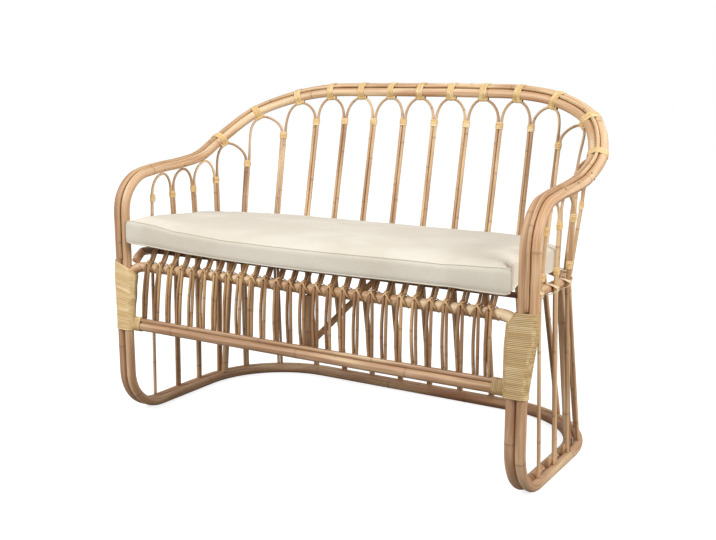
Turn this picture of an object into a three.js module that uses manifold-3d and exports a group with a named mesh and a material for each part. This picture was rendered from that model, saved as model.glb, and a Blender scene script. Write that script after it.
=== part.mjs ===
// A rattan garden sofa for two: a frame of doubled poles, a back and arms of
// nineteen bent hoops, a seat of paired canes over an open apron, cane lashings
// and one loose box cushion. Millimetres, +Z up, the sofa faces -Y, and the
// origin is on the floor at the middle of the footprint.
import * as THREE from "three";
import { mergeVertices } from "three/addons/utils/BufferGeometryUtils.js";
import Module from "manifold-3d";

const wasm = await Module();
wasm.setup();

// Fits
const touchGap = 0.3;
const lashingThickness = 1.6;
const wrapThickness = 2;
const endMargin = 1;

// Doubled frame poles
const poleDiameter = 23;
const armHalfWidth = 536.4;
const legInset = 12.5;
const armSetBack = 16.5;

// Top rail of the inner pole, from the middle of the back to the front of an arm
const railOverhang = 98;
const railHeight = 822;
const backTilt = 0.6;
const railWidthShares = [0, 0.168, 0.34, 0.522, 0.712, 0.903, 0.999, 1, 1, 1];
const railDepthShares = [1, 1.004, 1.002, 0.991, 0.969, 0.863, 0.692, 0.549, 0.403, 0.2688];
const railHeightShares = [1, 1, 0.999, 0.996, 0.977, 0.9253, 0.8376, 0.7893, 0.7719, 0.765];
const railTurnShares = [1, 1, 0.985, 0.93, 0.78, 0.5, 0.17, 0.02, 0, 0];
const railTiltShares = [1, 1, 1, 1, 0.9, 0.55, 0.2, 0, 0, 0];
const railExtraSamples = [0, 0, 0, 0, 1, 2, 2, 1, 0];
const shoulderDrop = 4.83;
const shoulderDepth = 100;
const shoulderRise = 96;
const shoulderSteps = 5;

// Small cane in the groove between the doubled poles
const grooveCaneDiameter = 9;

// Base poles
const baseOverhang = 61;
const baseCornerTightening = 14;
const footRadius = 105;
const cornerSteps = 8;
const footSteps = 5;

// Hoops of the back and the arms
const hoopDiameter = 8.6;
const headOutset = 3.6;
const headInset = 11;
const headCornerWidthShare = 0.53704;
const headCornerDepthShare = 0.50699;
const waistDrop = 2;
const archDrop = 65;

// Places of the hoop legs: 0 to 1 along the back, to 2 round the corner, to 3 along the arm
const headRowShares = [0.1861, 0.5582, 0.9322, 1.1601, 1.3699, 1.6004, 1.8156, 1.9999, 2.3014, 2.578];
const waistRowShares = [0.1686, 0.5052, 0.8441, 1.1122, 1.3248, 1.5988, 1.7246, 1.8993, 2.1757, 2.5562];
const footRowShares = [0.1574, 0.4742, 0.7928, 1.0909, 1.375, 1.6314, 1.8548, 2.0822, 2.3609, 2.6549];
const jointDropShares = [1, 1, 0.98, 0.8, 0.72, 0.55, 0.85, 0.88, 0.89, 0.95];
const archRiseShare = 0.62;
const archReachShare = 0.6;
const archSteps = 4;

// Lashings of the rail and of the hoop joints
const railLashingWidth = 18;
const jointLashingWidth = 14;

// Seat ring and the deck bar under the front of the seat
const ringDiameter = 22;
const ringInset = 16.4;
const ringDepth = 485;
const ringCornerShare = 0.46923;
const ringFrontHeight = 424;
const ringFall = 14;
const deckBarDepth = 55.4;
const ringNoseInset = 3.5;
const ringNoseLead = 22;
const ringNoseDrop = 11;

// Front seat rail, with ends that turn down into the leg wraps
const seatRailDiameter = 26;
const seatRailDepth = 29.6;
const seatRailDrop = 33;
const seatRailBendLength = 33;
const seatRailEndDrop = 22;
const seatRailEndDepth = 18;
const seatRailEndInset = 18.4;
const seatRailBendShares = [0, 0.35, 0.7, 1];
const seatRailFallShares = [0, 0.12, 0.5, 1];

// Lower front rail and the trim cane on top of it
const lowerRailDiameter = 23;
const lowerRailDepth = 9.6;
const lowerRailRise = 10;
const trimCaneDiameter = 11;
const trimCaneSink = 0.6;

// Paired canes of the apron and the seat
const seatCaneDiameter = 7.8;
const seatCanePairs = 27;
const seatCaneEndInset = 52;
const seatCaneTail = 9;
const seatCaneLead = 3;
const seatCaneSides = 6;
const seatTieWidth = 9;

// Posts and brace under the seat
const cornerPostDiameter = 19;
const cornerPostTurn = 0.23;
const centrePostDiameter = 17;
const centrePostShift = 10;
const braceDiameter = 16;
const braceFootRise = 24;

// Leg wraps
const wrapTopDrop = 16;
const wrapFootHeight = 230;
const kinkTopDrop = 43;
const kinkFootRise = 20;
const wrapShoulderDrop = 28;
const wrapHeelDrop = 54;
const railBandLength = 32;

// Loose cushion
const cushionSideGap = 4;
const cushionFront = 10;
const cushionOverhang = 9;
const cushionThickness = 58;
const cushionFrontRadius = 34;
const cushionCornerTightening = 9;
const cushionRounding = 7;

// Sizes that follow from those above
const poleRadius = poleDiameter / 2;
const polePitch = poleDiameter + touchGap;
const ringRadius = ringDiameter / 2;
const seatRailRadius = seatRailDiameter / 2;
const lowerRailRadius = lowerRailDiameter / 2;
const canePitch = hoopDiameter + touchGap;
const seatCanePitch = seatCaneDiameter + touchGap;
const quarter = Math.PI / 2;

const legHalfWidth = armHalfWidth - legInset;
const ringHalfWidth = armHalfWidth - ringInset;
const headHalfWidth = armHalfWidth + headOutset;
const cushionHalfWidth = ringHalfWidth - cushionSideGap;
const seatCaneSpacing = (2 * (ringHalfWidth - seatCaneEndInset)) / (seatCanePairs - 1);

const baseDepth = ringDepth + baseOverhang;
const railDepth = ringDepth + railOverhang;
const headDepth = railDepth - headInset;
const cushionDepth = ringDepth + cushionOverhang;

const ringCornerRadius = ringHalfWidth * ringCornerShare;
const baseCornerRadius = ringCornerRadius - baseCornerTightening;
const cushionRearRadius = ringCornerRadius - cushionCornerTightening;

const ringRearHeight = ringFrontHeight - ringFall;
const waistHeight = ringRearHeight - waistDrop;
const seatRailHeight = ringFrontHeight - seatRailDrop;
const seatRailEndHeight = seatRailHeight - seatRailEndDrop;
const wrapTopHeight = ringFrontHeight - wrapTopDrop;
const kinkTopHeight = wrapTopHeight - kinkTopDrop;
const kinkFootHeight = wrapFootHeight + kinkFootRise;
const jointHeight = (kinkTopHeight + kinkFootHeight) / 2;
const lowerRailHeight = wrapFootHeight + lowerRailRise;
const armRailHeight = railHeight * railHeightShares[railHeightShares.length - 1];
const shoulderHeight = armRailHeight - shoulderDrop - shoulderRise;

const vec = (x, y, z) => new THREE.Vector3(x, y, z);
const flatToCorner = (sides) => 1 / Math.cos(Math.PI / sides);
const meanToCorner = (sides) => 2 / (1 + Math.cos(Math.PI / sides));

// A line of straight stretches whose corners are the samples of a bent cane.
// The side directions, one for all samples or one each, keep its section from turning.
class BentLine extends THREE.Curve {
  constructor(points, sides) {
    super();
    this.points = points;
    this.sides = Array.isArray(sides) ? sides : points.map(() => sides);
  }
  getPoint(t, target = vec(0, 0, 0)) {
    const place = t * (this.points.length - 1);
    const index = Math.min(Math.floor(place), this.points.length - 2);
    return target.lerpVectors(this.points[index], this.points[index + 1], place - index);
  }
  getPointAt(u, target) {
    return this.getPoint(u, target);
  }
  computeFrenetFrames() {
    const last = this.points.length - 1;
    const tangents = this.points.map((point, index) => {
      const ahead = this.points[Math.min(index + 1, last)].clone().sub(point).normalize();
      const behind = point.clone().sub(this.points[Math.max(index - 1, 0)]).normalize();
      return ahead.add(behind).normalize();
    });
    const normals = tangents.map((tangent, index) => {
      const side = this.sides[index];
      return side.clone().addScaledVector(tangent, -side.dot(tangent)).normalize();
    });
    const binormals = tangents.map((tangent, index) => tangent.clone().cross(normals[index]));
    return { tangents, normals, binormals };
  }
}

// Outline of a regular section that has a flat towards its side direction
function sectionPoints(cornerRadius, sides, x = 0, y = 0, turn = 0) {
  return Array.from({ length: sides }, (_, index) => {
    const angle = turn + ((index + 0.5) * 2 * Math.PI) / sides;
    return new THREE.Vector2(x + cornerRadius * Math.cos(angle), y + cornerRadius * Math.sin(angle));
  });
}

// Smallest outline without dents around a set of points, counter-clockwise
function hullOf(points) {
  const sorted = [...points].sort((a, b) => a.x - b.x || a.y - b.y);
  const turn = (o, a, b) => (a.x - o.x) * (b.y - o.y) - (a.y - o.y) * (b.x - o.x);
  const chain = (list) => {
    const kept = [];
    for (const point of list) {
      while (kept.length > 1 && turn(kept[kept.length - 2], kept[kept.length - 1], point) <= 0) {
        kept.pop();
      }
      kept.push(point);
    }
    kept.pop();
    return kept;
  };
  return chain(sorted).concat(chain(sorted.reverse()));
}

function sweep(outline, points, sides, hole) {
  const shape = new THREE.Shape(outline);
  if (hole) {
    shape.holes.push(new THREE.Path(hole));
  }
  const path = new BentLine(points, sides);
  return new THREE.ExtrudeGeometry(shape, { steps: points.length - 1, extrudePath: path });
}

const poleSection = (diameter, x, y) => sectionPoints((diameter / 2) * flatToCorner(8), 8, x, y);
const caneSection = (diameter, x, y) => sectionPoints((diameter / 2) * meanToCorner(6), 6, x, y);
const pole = (points, sides, diameter) => sweep(poleSection(diameter), points, sides);
const cane = (points, sides, diameter) => sweep(caneSection(diameter), points, sides);

// Joins and cuts of closed shapes
function solidOf(geometry) {
  const bare = geometry.clone();
  bare.deleteAttribute("normal");
  bare.deleteAttribute("uv");
  const merged = mergeVertices(bare.index ? bare.toNonIndexed() : bare, 0.0001);
  return new wasm.Manifold(
    new wasm.Mesh({
      numProp: 3,
      vertProperties: merged.attributes.position.array,
      triVerts: new Uint32Array(merged.index.array),
    }),
  );
}

function geometryOf(solid) {
  const mesh = solid.getMesh();
  const geometry = new THREE.BufferGeometry();
  geometry.setAttribute("position", new THREE.BufferAttribute(mesh.vertProperties, 3));
  geometry.setIndex(new THREE.BufferAttribute(mesh.triVerts, 1));
  const flat = geometry.toNonIndexed();
  flat.computeVertexNormals();
  return flat;
}

const joined = (shapes) => shapes.map(solidOf).reduce((sum, solid) => sum.add(solid));

// The mirror image of a shape, with its triangles turned so that they still face out
function mirrorImage(geometry) {
  const image = geometry.index ? geometry.toNonIndexed() : geometry.clone();
  const spots = image.attributes.position;
  for (let n = 0; n < spots.count; n += 3) {
    const corners = [0, 2, 1].map((k) => vec(-spots.getX(n + k), spots.getY(n + k), spots.getZ(n + k)));
    corners.forEach((corner, k) => spots.setXYZ(n + k, corner.x, corner.y, corner.z));
  }
  return image;
}

const sofa = new THREE.Group();

function addPart(name, geometry, color, roughness) {
  const material = new THREE.MeshStandardMaterial({ color, roughness, metalness: 0 });
  const mesh = new THREE.Mesh(geometry, material);
  mesh.name = name;
  sofa.add(mesh);
  return mesh;
}

const poleColor = 0xd2a570;
const caneColor = 0xb98d5c;
const lashingColor = 0xe2c684;
const shadeColor = 0x8d6848;
const cushionColor = 0xe9e1d2;

// A list of samples from the middle outwards, completed with its mirror image
const mirrored = (point) => vec(-point.x, point.y, point.z);
const bothHalves = (half) => [...half].reverse().map(mirrored).concat(half);
const withMiddle = (half) => half.slice(1).reverse().map(mirrored).concat(half);

// Inner pole of the top rail as a smooth line through its lashing places
const railStations = railWidthShares.map((share, index) =>
  vec(share * armHalfWidth, railDepthShares[index] * railDepth, railHeightShares[index] * railHeight),
);
const shoulderStations = Array.from({ length: shoulderSteps }, (_, index) => {
  const turn = quarter * (1 - index / (shoulderSteps - 1));
  const depth = armSetBack + shoulderDepth * (1 - Math.cos(turn));
  return vec(armHalfWidth, depth, shoulderHeight + shoulderRise * Math.sin(turn));
});
const armFoot = vec(armHalfWidth, armSetBack, wrapTopHeight);
const outerStations = [...railStations, ...shoulderStations, armFoot];
const innerStations = outerStations.slice(1).reverse().map(mirrored);
const railStationsAll = innerStations.concat(outerStations);
const railCurve = new THREE.CatmullRomCurve3(railStationsAll, false, "centripetal");
const stationCount = railStationsAll.length - 1;
const middleStation = outerStations.length - 1;
const railAt = (station) => railCurve.getPoint((middleStation + station) / stationCount);

function stationStep(station, length) {
  const reach = 0.05;
  const span = railAt(station + reach).distanceTo(railAt(station - reach));
  return (2 * reach * length) / span;
}

function shareAt(table, station) {
  const place = Math.min(Math.max(station, 0), table.length - 1);
  const index = Math.min(Math.floor(place), table.length - 2);
  return THREE.MathUtils.lerp(table[index], table[index + 1], place - index);
}

// Samples of the rail: both ends of every lashing and a few between them
const railSampleStations = [];
railStations.forEach((_, index) => {
  const step = stationStep(index, railLashingWidth / 2);
  if (index > 0) {
    railSampleStations.push(index - step);
  }
  railSampleStations.push(index + step);
  const extra = railExtraSamples[index] || 0;
  for (let n = 1; n <= extra; n += 1) {
    railSampleStations.push(index + n / (extra + 1));
  }
});
shoulderStations.forEach((_, index) => {
  railSampleStations.push(railStations.length + index);
});

function railFrame(station) {
  const reach = 0.02;
  const tangent = railAt(station + reach).sub(railAt(station - reach)).normalize();
  const turn = quarter * shareAt(railTurnShares, station);
  const flat = vec(Math.cos(turn), Math.sin(turn), 0);
  const level = flat.addScaledVector(tangent, -flat.dot(tangent)).normalize();
  const rise = tangent.clone().cross(level);
  const tilt = backTilt * shareAt(railTiltShares, station);
  const outward = level.clone().multiplyScalar(Math.cos(tilt)).addScaledVector(rise, Math.sin(tilt));
  const crown = rise.multiplyScalar(Math.cos(tilt)).addScaledVector(level, -Math.sin(tilt));
  return { place: railAt(station), outward, crown };
}

const railFrames = railSampleStations.map(railFrame);

// Within the wraps the legs lean inwards and forwards to the base
const leanAt = (z) => {
  const share = (z - wrapFootHeight) / (wrapTopHeight - wrapFootHeight);
  return armSetBack * THREE.MathUtils.clamp(share, 0, 1);
};
const legWidthAt = (z) => {
  const share = (z - kinkFootHeight) / (kinkTopHeight - kinkFootHeight);
  return THREE.MathUtils.lerp(legHalfWidth, armHalfWidth, THREE.MathUtils.clamp(share, 0, 1));
};
const legFrame = (z) => ({
  place: vec(legWidthAt(z), leanAt(z), z),
  outward: vec(1, 0, 0),
  crown: vec(0, -1, 0),
});
const upperFrames = railFrames.concat([
  legFrame(wrapTopHeight),
  legFrame(kinkTopHeight),
  legFrame(jointHeight + touchGap / 2),
]);

// The section keeps its flats to the neighbouring pole, also on the mirrored half
const upperSides = bothHalves(upperFrames.map((frame) => frame.outward));
const offsetLine = (frames, outwards, crowns) =>
  frames.map((frame) =>
    frame.place.clone().addScaledVector(frame.outward, outwards).addScaledVector(frame.crown, crowns),
  );
const upperLine = (outwards) => bothHalves(offsetLine(upperFrames, outwards, 0));
addPart("upper_inner_pole", pole(upperLine(0), upperSides, poleDiameter), poleColor, 0.45);
addPart("upper_outer_pole", pole(upperLine(polePitch), upperSides, poleDiameter), poleColor, 0.45);

// The small cane lies in the valley between the two poles and ends above the wraps
const poleSlopeFoot = poleRadius * Math.tan(Math.PI / 8) - touchGap / 2;
const grooveCorner = (grooveCaneDiameter / 2) * meanToCorner(6);
const grooveRise = poleSlopeFoot + (grooveCorner + touchGap) * Math.SQRT2;
const grooveFrames = railFrames.concat([legFrame(wrapTopHeight + endMargin)]);
const grooveSides = bothHalves(grooveFrames.map((frame) => frame.outward));
const grooveLine = bothHalves(offsetLine(grooveFrames, polePitch / 2, grooveRise));
addPart("groove_cane", cane(grooveLine, grooveSides, grooveCaneDiameter), caneColor, 0.5);

// Base poles: down from the wraps, round the feet and along the floor
const baseCentreX = legHalfWidth - baseCornerRadius;
const baseCentreY = baseDepth - baseCornerRadius;
const baseSamples = [{ place: vec(0, baseDepth, poleRadius), outward: vec(0, 1, 0) }];
for (let n = 0; n <= cornerSteps; n += 1) {
  const turn = (quarter * n) / cornerSteps;
  const outward = vec(Math.sin(turn), Math.cos(turn), 0);
  const x = baseCentreX + baseCornerRadius * outward.x;
  const y = baseCentreY + baseCornerRadius * outward.y;
  baseSamples.push({ place: vec(x, y, poleRadius), outward });
}
for (let n = 0; n <= footSteps; n += 1) {
  const turn = (quarter * n) / footSteps;
  const y = footRadius * (1 - Math.sin(turn));
  const z = poleRadius + footRadius * (1 - Math.cos(turn));
  baseSamples.push({ place: vec(legHalfWidth, y, z), outward: vec(1, 0, 0) });
}
baseSamples.push(legFrame(wrapFootHeight));
baseSamples.push(legFrame(kinkFootHeight));
baseSamples.push(legFrame(jointHeight - touchGap / 2));
const baseSides = withMiddle(baseSamples.map((sample) => sample.outward));
const baseLine = (outwards) =>
  withMiddle(baseSamples.map((sample) => sample.place.clone().addScaledVector(sample.outward, outwards)));
addPart("base_inner_pole", pole(baseLine(0), baseSides, poleDiameter), poleColor, 0.5);
addPart("base_outer_pole", pole(baseLine(polePitch), baseSides, poleDiameter), poleColor, 0.5);

// A row of canes in plan: half of a rounded U. A place from 0 to 1 is on its back,
// to 2 on its corner and to 3 on its arm, and a slide shifts it along the row.
function rowOf(halfWidth, depth, cornerWidth, cornerDepth) {
  return (place, slide = 0) => {
    const onBack = Math.min(place, 1) * (halfWidth - cornerWidth);
    const turn = THREE.MathUtils.clamp(place - 1, 0, 1) * quarter;
    const onArm = Math.max(place - 2, 0) * (depth - cornerDepth);
    const along = vec(cornerWidth * Math.cos(turn), -cornerDepth * Math.sin(turn), 0).normalize();
    const x = onBack + cornerWidth * Math.sin(turn) + slide * along.x;
    const y = depth - cornerDepth * (1 - Math.cos(turn)) - onArm + slide * along.y;
    return { x, y, along };
  };
}

const hoopCorner = (hoopDiameter / 2) * meanToCorner(6);
const hoopSection = sectionPoints(hoopCorner, 6, 0, 0, quarter);
const waistOffset = ringRadius + touchGap + hoopCorner;
const headRow = rowOf(
  headHalfWidth,
  headDepth,
  headHalfWidth * headCornerWidthShare,
  headDepth * headCornerDepthShare,
);
const roundRow = (halfWidth, depth, corner, offset) =>
  rowOf(halfWidth + offset, depth + offset, corner + offset, corner + offset);
const waistRow = roundRow(ringHalfWidth, ringDepth, ringCornerRadius, waistOffset);
const footRow = roundRow(legHalfWidth, baseDepth, baseCornerRadius, polePitch);
const footLean = (baseDepth + polePitch - ringDepth - waistOffset) / (waistHeight - poleDiameter);
const footHeight = poleDiameter + touchGap + hoopCorner * footLean;

// The rail between the two ends of one lashing
function lashingSeat(index) {
  const step = stationStep(index, railLashingWidth / 2);
  const near = railFrame(index === 0 ? step : index - step);
  const far = railFrame(index + step);
  if (index === 0) {
    near.place = mirrored(far.place);
    near.outward = vec(-far.outward.x, far.outward.y, far.outward.z);
    near.crown = vec(-far.crown.x, far.crown.y, far.crown.z);
  }
  return { near, far };
}

const lashingSeats = railStations.map((_, index) => lashingSeat(index));
const seatMiddle = (seat) => seat.near.place.clone().add(seat.far.place).multiplyScalar(0.5);
const apexClearance = poleRadius * flatToCorner(8) + touchGap + (hoopDiameter / 2) * meanToCorner(6);
const apexHeights = lashingSeats.map((seat) => seatMiddle(seat).z - apexClearance);
const jointHeights = jointDropShares.map((share, index) => {
  const next = apexHeights[Math.min(index + 1, apexHeights.length - 1)];
  return Math.min(apexHeights[index], next) - share * archDrop;
});

// One point of a hoop leg at a height, slid along its row by a given offset
function legPoint(index, offset, height) {
  const atRow = (row, shares) => row(shares[index], offset);
  const foot = atRow(footRow, footRowShares);
  const waist = atRow(waistRow, waistRowShares);
  const head = atRow(headRow, headRowShares);
  const mix = (a, b, share) => vec(
    THREE.MathUtils.lerp(a.x, b.x, share),
    THREE.MathUtils.lerp(a.y, b.y, share),
    height,
  );
  if (height < waistHeight) {
    return mix(foot, waist, (height - footHeight) / (waistHeight - footHeight));
  }
  return mix(waist, head, (height - waistHeight) / (jointHeights[index] - waistHeight));
}

function hoopLeg(index, offset) {
  const topHeight = jointHeights[index] + jointLashingWidth / 2;
  const heights = [footHeight, waistHeight, topHeight];
  return heights.map((height) => legPoint(index, offset, height));
}

function archHalf(leg, apex, reach) {
  const top = leg[leg.length - 1];
  const rising = top.clone().sub(leg[leg.length - 2]).normalize();
  const rise = apex.z - top.z;
  const curve = new THREE.CubicBezierCurve3(
    top,
    top.clone().addScaledVector(rising, rise * archRiseShare),
    apex.clone().addScaledVector(reach, top.distanceTo(apex) * archReachShare * 0.5),
    apex,
  );
  return curve.getPoints(archSteps).slice(1, -1);
}

// The lashing of a hoop: a sleeve round both rail poles and the groove cane
function railSleeve(seat) {
  const outlineWith = (margin) =>
    hullOf([
      ...poleSection(poleDiameter + 2 * margin, -polePitch / 2, 0),
      ...poleSection(poleDiameter + 2 * margin, polePitch / 2, 0),
      ...caneSection(grooveCaneDiameter + 2 * margin, 0, grooveRise),
    ]);
  const place = (frame) => frame.place.clone().addScaledVector(frame.outward, polePitch / 2);
  const run = place(seat.far).sub(place(seat.near)).normalize().multiplyScalar(endMargin);
  const points = [place(seat.near).add(run), place(seat.far).sub(run)];
  const sides = [seat.near.outward, seat.far.outward];
  return sweep(outlineWith(touchGap + lashingThickness), points, sides, outlineWith(touchGap));
}

// The lashing where the legs of two hoops run side by side, loose on the neighbour
function jointSleeve(index) {
  const middle = jointHeights[index];
  const ends = [-jointLashingWidth / 2, jointLashingWidth / 2 - endMargin];
  const points = ends.map((end) => legPoint(index, 0, middle + end));
  const { along } = headRow(headRowShares[index]);
  const outer = hoopDiameter + 2 * (2 * touchGap + lashingThickness);
  const outline = hullOf([
    ...caneSection(outer, -canePitch / 2, 0),
    ...caneSection(outer, canePitch / 2, 0),
  ]);
  const holeCorner = (hoopCorner + touchGap) * flatToCorner(6);
  const hole = sectionPoints(holeCorner, 6, -canePitch / 2, 0);
  return sweep(outline, points, along, hole);
}

function hoopOf(index) {
  const seat = lashingSeats[index];
  const near = index === 0 ? hoopLeg(0, -canePitch / 2).map(mirrored) : hoopLeg(index - 1, canePitch / 2);
  const farOffset = index === railStations.length - 1 ? 0 : -canePitch / 2;
  const far = hoopLeg(index, farOffset);
  const middle = seatMiddle(seat);
  const along = seat.far.place.clone().sub(seat.near.place).normalize();
  const legsTop = near[near.length - 1].clone().add(far[far.length - 1]).multiplyScalar(0.5);
  const up = middle.clone().sub(legsTop);
  up.addScaledVector(along, -up.dot(along)).normalize();
  const apex = middle.clone().addScaledVector(up, -apexClearance);
  const nearArch = archHalf(near, apex, along.clone().negate());
  const farArch = archHalf(far, apex, along).reverse();
  const path = [...near, ...nearArch, apex, ...farArch, ...[...far].reverse()];

  // The faces of the hoop, square to its row, so that its flats meet its neighbours
  const faceOf = (number) => {
    const { along: row } = headRow(headRowShares[number]);
    return vec(-row.y, row.x, 0);
  };
  const farFace = faceOf(index);
  const nearFace = index === 0 ? vec(-farFace.x, farFace.y, 0) : faceOf(index - 1);
  const faces = path.map((_, n) => {
    const share = THREE.MathUtils.clamp((n - near.length) / (path.length - 2 * near.length - 1), 0, 1);
    return nearFace.clone().lerp(farFace, share);
  });
  return { path, faces, seat };
}

const hoopCount = 2 * railStations.length - 1;
const numbered = (name, number) => name + "_" + String(number).padStart(2, "0");

for (let number = 1; number <= hoopCount; number += 1) {
  const place = number - railStations.length;
  const index = Math.abs(place);
  const flip = place < 0;
  const { path, faces, seat } = hoopOf(index);
  const bent = sweep(hoopSection, flip ? path.map(mirrored) : path, flip ? faces.map(mirrored) : faces);
  const sleeve = railSleeve(seat);
  const pieces = [bent, flip ? mirrorImage(sleeve) : sleeve];
  if (index > 0) {
    const joint = jointSleeve(index - 1);
    pieces.push(flip ? mirrorImage(joint) : joint);
  }
  addPart(numbered("arch_hoop", number), geometryOf(joined(pieces)), caneColor, 0.5);
}

// Seat ring: a bent pole inside the hoops, joined with the deck bar at the front
const ringSlope = (ringRearHeight - ringFrontHeight) / (ringDepth - deckBarDepth);
const ringHeightAt = (y) => ringFrontHeight + ringSlope * (y - deckBarDepth);
const ringRow = roundRow(ringHalfWidth, ringDepth, ringCornerRadius, 0);
const ringPlaces = [0];
for (let n = 0; n <= cornerSteps; n += 1) {
  ringPlaces.push(1 + n / cornerSteps);
}
ringPlaces.push(3 - deckBarDepth / (ringDepth - ringCornerRadius));
const ringHalf = ringPlaces.map((place) => {
  const spot = ringRow(place);
  return vec(spot.x, spot.y, ringHeightAt(spot.y));
});
ringHalf.push(vec(
  ringHalfWidth - ringNoseInset,
  deckBarDepth - ringNoseLead,
  ringFrontHeight - ringNoseDrop,
));
const ringPole = pole(withMiddle(ringHalf), vec(0, 0, 1), ringDiameter);
const deckBarEnds = [-1, 1].map((side) => vec(side * ringHalfWidth, deckBarDepth, ringFrontHeight));
const deckBar = pole(deckBarEnds, vec(0, 0, 1), ringDiameter);
addPart("seat_ring", geometryOf(joined([ringPole, deckBar])), shadeColor, 0.55);

// Front seat rail
const seatRailEndX = armHalfWidth - seatRailEndInset;
const seatRailStart = seatRailEndX - seatRailBendLength;
const seatRailHalf = [vec(0, seatRailDepth, seatRailHeight)];
seatRailBendShares.forEach((share, index) => {
  const fall = seatRailFallShares[index];
  const x = seatRailStart + seatRailBendLength * Math.sin(share * quarter);
  const y = THREE.MathUtils.lerp(seatRailDepth, seatRailEndDepth, share);
  seatRailHalf.push(vec(x, y, THREE.MathUtils.lerp(seatRailHeight, seatRailEndHeight, fall)));
});
const seatRailLine = withMiddle(seatRailHalf);
const seatRailWith = (margin) => pole(seatRailLine, vec(0, 1, 0), seatRailDiameter + 2 * margin);

// Room for one of the doubled legs, with the touch gap all round
function looseLeg(shift) {
  const top = vec(armHalfWidth, armSetBack, wrapTopHeight + poleDiameter);
  const bends = [wrapTopHeight, kinkTopHeight, kinkFootHeight, wrapFootHeight];
  const foot = vec(legHalfWidth, 0, wrapFootHeight - poleDiameter);
  const points = [top, ...bends.map((z) => legFrame(z).place), foot];
  points.forEach((point) => point.setX(point.x + shift));
  return pole(points, vec(1, 0, 0), poleDiameter + 2 * touchGap);
}

// The ends of the seat rail are hollowed to sit against the inner poles
const seatRail = solidOf(seatRailWith(0))
  .subtract(solidOf(looseLeg(0)))
  .subtract(solidOf(mirrorImage(looseLeg(0))));
addPart("front_seat_rail", geometryOf(seatRail), poleColor, 0.45);

// Lower front rail with its trim cane
const legWrapFace = legHalfWidth - poleRadius - wrapThickness - touchGap;
const lowerRailEnd = legWrapFace - touchGap;
const straightLine = (end, y, z) => [vec(-end, y, z), vec(end, y, z)];
const trimCaneHeight = lowerRailHeight + lowerRailRadius + trimCaneDiameter / 2 - trimCaneSink;
const lowerRailPole = pole(
  straightLine(lowerRailEnd, lowerRailDepth, lowerRailHeight),
  vec(0, 0, 1),
  lowerRailDiameter,
);
const trimCane = cane(
  straightLine(lowerRailEnd - endMargin, lowerRailDepth, trimCaneHeight),
  vec(0, 0, 1),
  trimCaneDiameter,
);
addPart("lower_front_rail", geometryOf(joined([lowerRailPole, trimCane])), poleColor, 0.45);

// Paired canes: up the apron, over the seat rail and back across the seat
const seatCaneCorner = (seatCaneDiameter / 2) * meanToCorner(6);
const overRail = seatRailRadius + touchGap + seatCaneCorner;
const overRing = ringRadius + touchGap + seatCaneCorner;
const seatCaneFoot = trimCaneHeight + (trimCaneDiameter / 2) * meanToCorner(6) + touchGap;
const bendReach = Math.tan(Math.PI / 8);

// The line of one cane from the trim cane up to its end on the rear of the ring
function seatCaneLine(x) {
  const widest = Math.abs(x) + seatCanePitch / 2;
  const inCorner = Math.max(widest - ringHalfWidth + ringCornerRadius, 0);
  const cornerDepth = Math.sqrt(ringCornerRadius ** 2 - inCorner ** 2);
  const rear = ringDepth - ringCornerRadius + cornerDepth + seatCaneTail;
  return [
    vec(x, lowerRailDepth, seatCaneFoot),
    vec(x, seatRailDepth - overRail, seatRailHeight + overRail * bendReach),
    vec(x, seatRailDepth - overRail * bendReach, seatRailHeight + overRail),
    vec(x, deckBarDepth - overRing * bendReach - seatCaneLead, ringFrontHeight + overRing),
    vec(x, rear, ringHeightAt(rear) + overRing),
  ];
}

// Two canes side by side, joined along the line where they touch
const outerHalf = sectionPoints(seatCaneCorner, 6, seatCanePitch / 2, 0)
  .filter((corner) => corner.x > seatCanePitch / 4)
  .sort((a, b) => Math.atan2(a.y, a.x) - Math.atan2(b.y, b.x));
const grooveFoot = new THREE.Vector2(0, seatCaneCorner / 2);
const halfTurn = (corner) => new THREE.Vector2(-corner.x, -corner.y);
const rightLobe = [...outerHalf, grooveFoot];
const pairOutline = [...rightLobe, ...rightLobe.map(halfTurn)];
const tieLineAt = (middle) =>
  [-seatTieWidth / 2, seatTieWidth / 2].map((end) => vec(middle + end, seatRailDepth, seatRailHeight));
const tieOuter = poleSection(seatRailDiameter + 2 * (touchGap + lashingThickness));
const tieInner = poleSection(seatRailDiameter + 2 * touchGap);

for (let number = 1; number <= seatCanePairs; number += 1) {
  const middle = (number - (seatCanePairs + 1) / 2) * seatCaneSpacing;
  const canes = sweep(pairOutline, seatCaneLine(middle), vec(1, 0, 0));
  const tie = sweep(tieOuter, tieLineAt(middle), vec(0, 0, 1), tieInner);
  addPart(numbered("seat_cane_pair", number), geometryOf(joined([canes, tie])), caneColor, 0.5);
}

// Corner posts between the base and the seat ring
const postFoot = vec(
  baseCentreX + baseCornerRadius * Math.cos(cornerPostTurn),
  baseCentreY + baseCornerRadius * Math.sin(cornerPostTurn),
  poleDiameter + touchGap,
);
const ringCentreX = ringHalfWidth - ringCornerRadius;
const ringTurn = Math.asin((postFoot.y - (ringDepth - ringCornerRadius)) / ringCornerRadius);
const postTop = vec(ringCentreX + ringCornerRadius * Math.cos(ringTurn), postFoot.y, 0);
postTop.z = ringHeightAt(postTop.y) - ringRadius * flatToCorner(8) - touchGap;
const postLean = (cornerPostDiameter / 2) * Math.abs(postTop.x - postFoot.x);
const postFootLift = postLean / (postTop.z - postFoot.z);
postFoot.z += postFootLift;
postTop.z -= postFootLift;
const postLine = [postFoot, postTop];
addPart("right_corner_post", pole(postLine, vec(1, 0, 0), cornerPostDiameter), shadeColor, 0.55);
addPart("left_corner_post", pole(postLine.map(mirrored), vec(1, 0, 0), cornerPostDiameter), shadeColor, 0.55);

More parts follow.
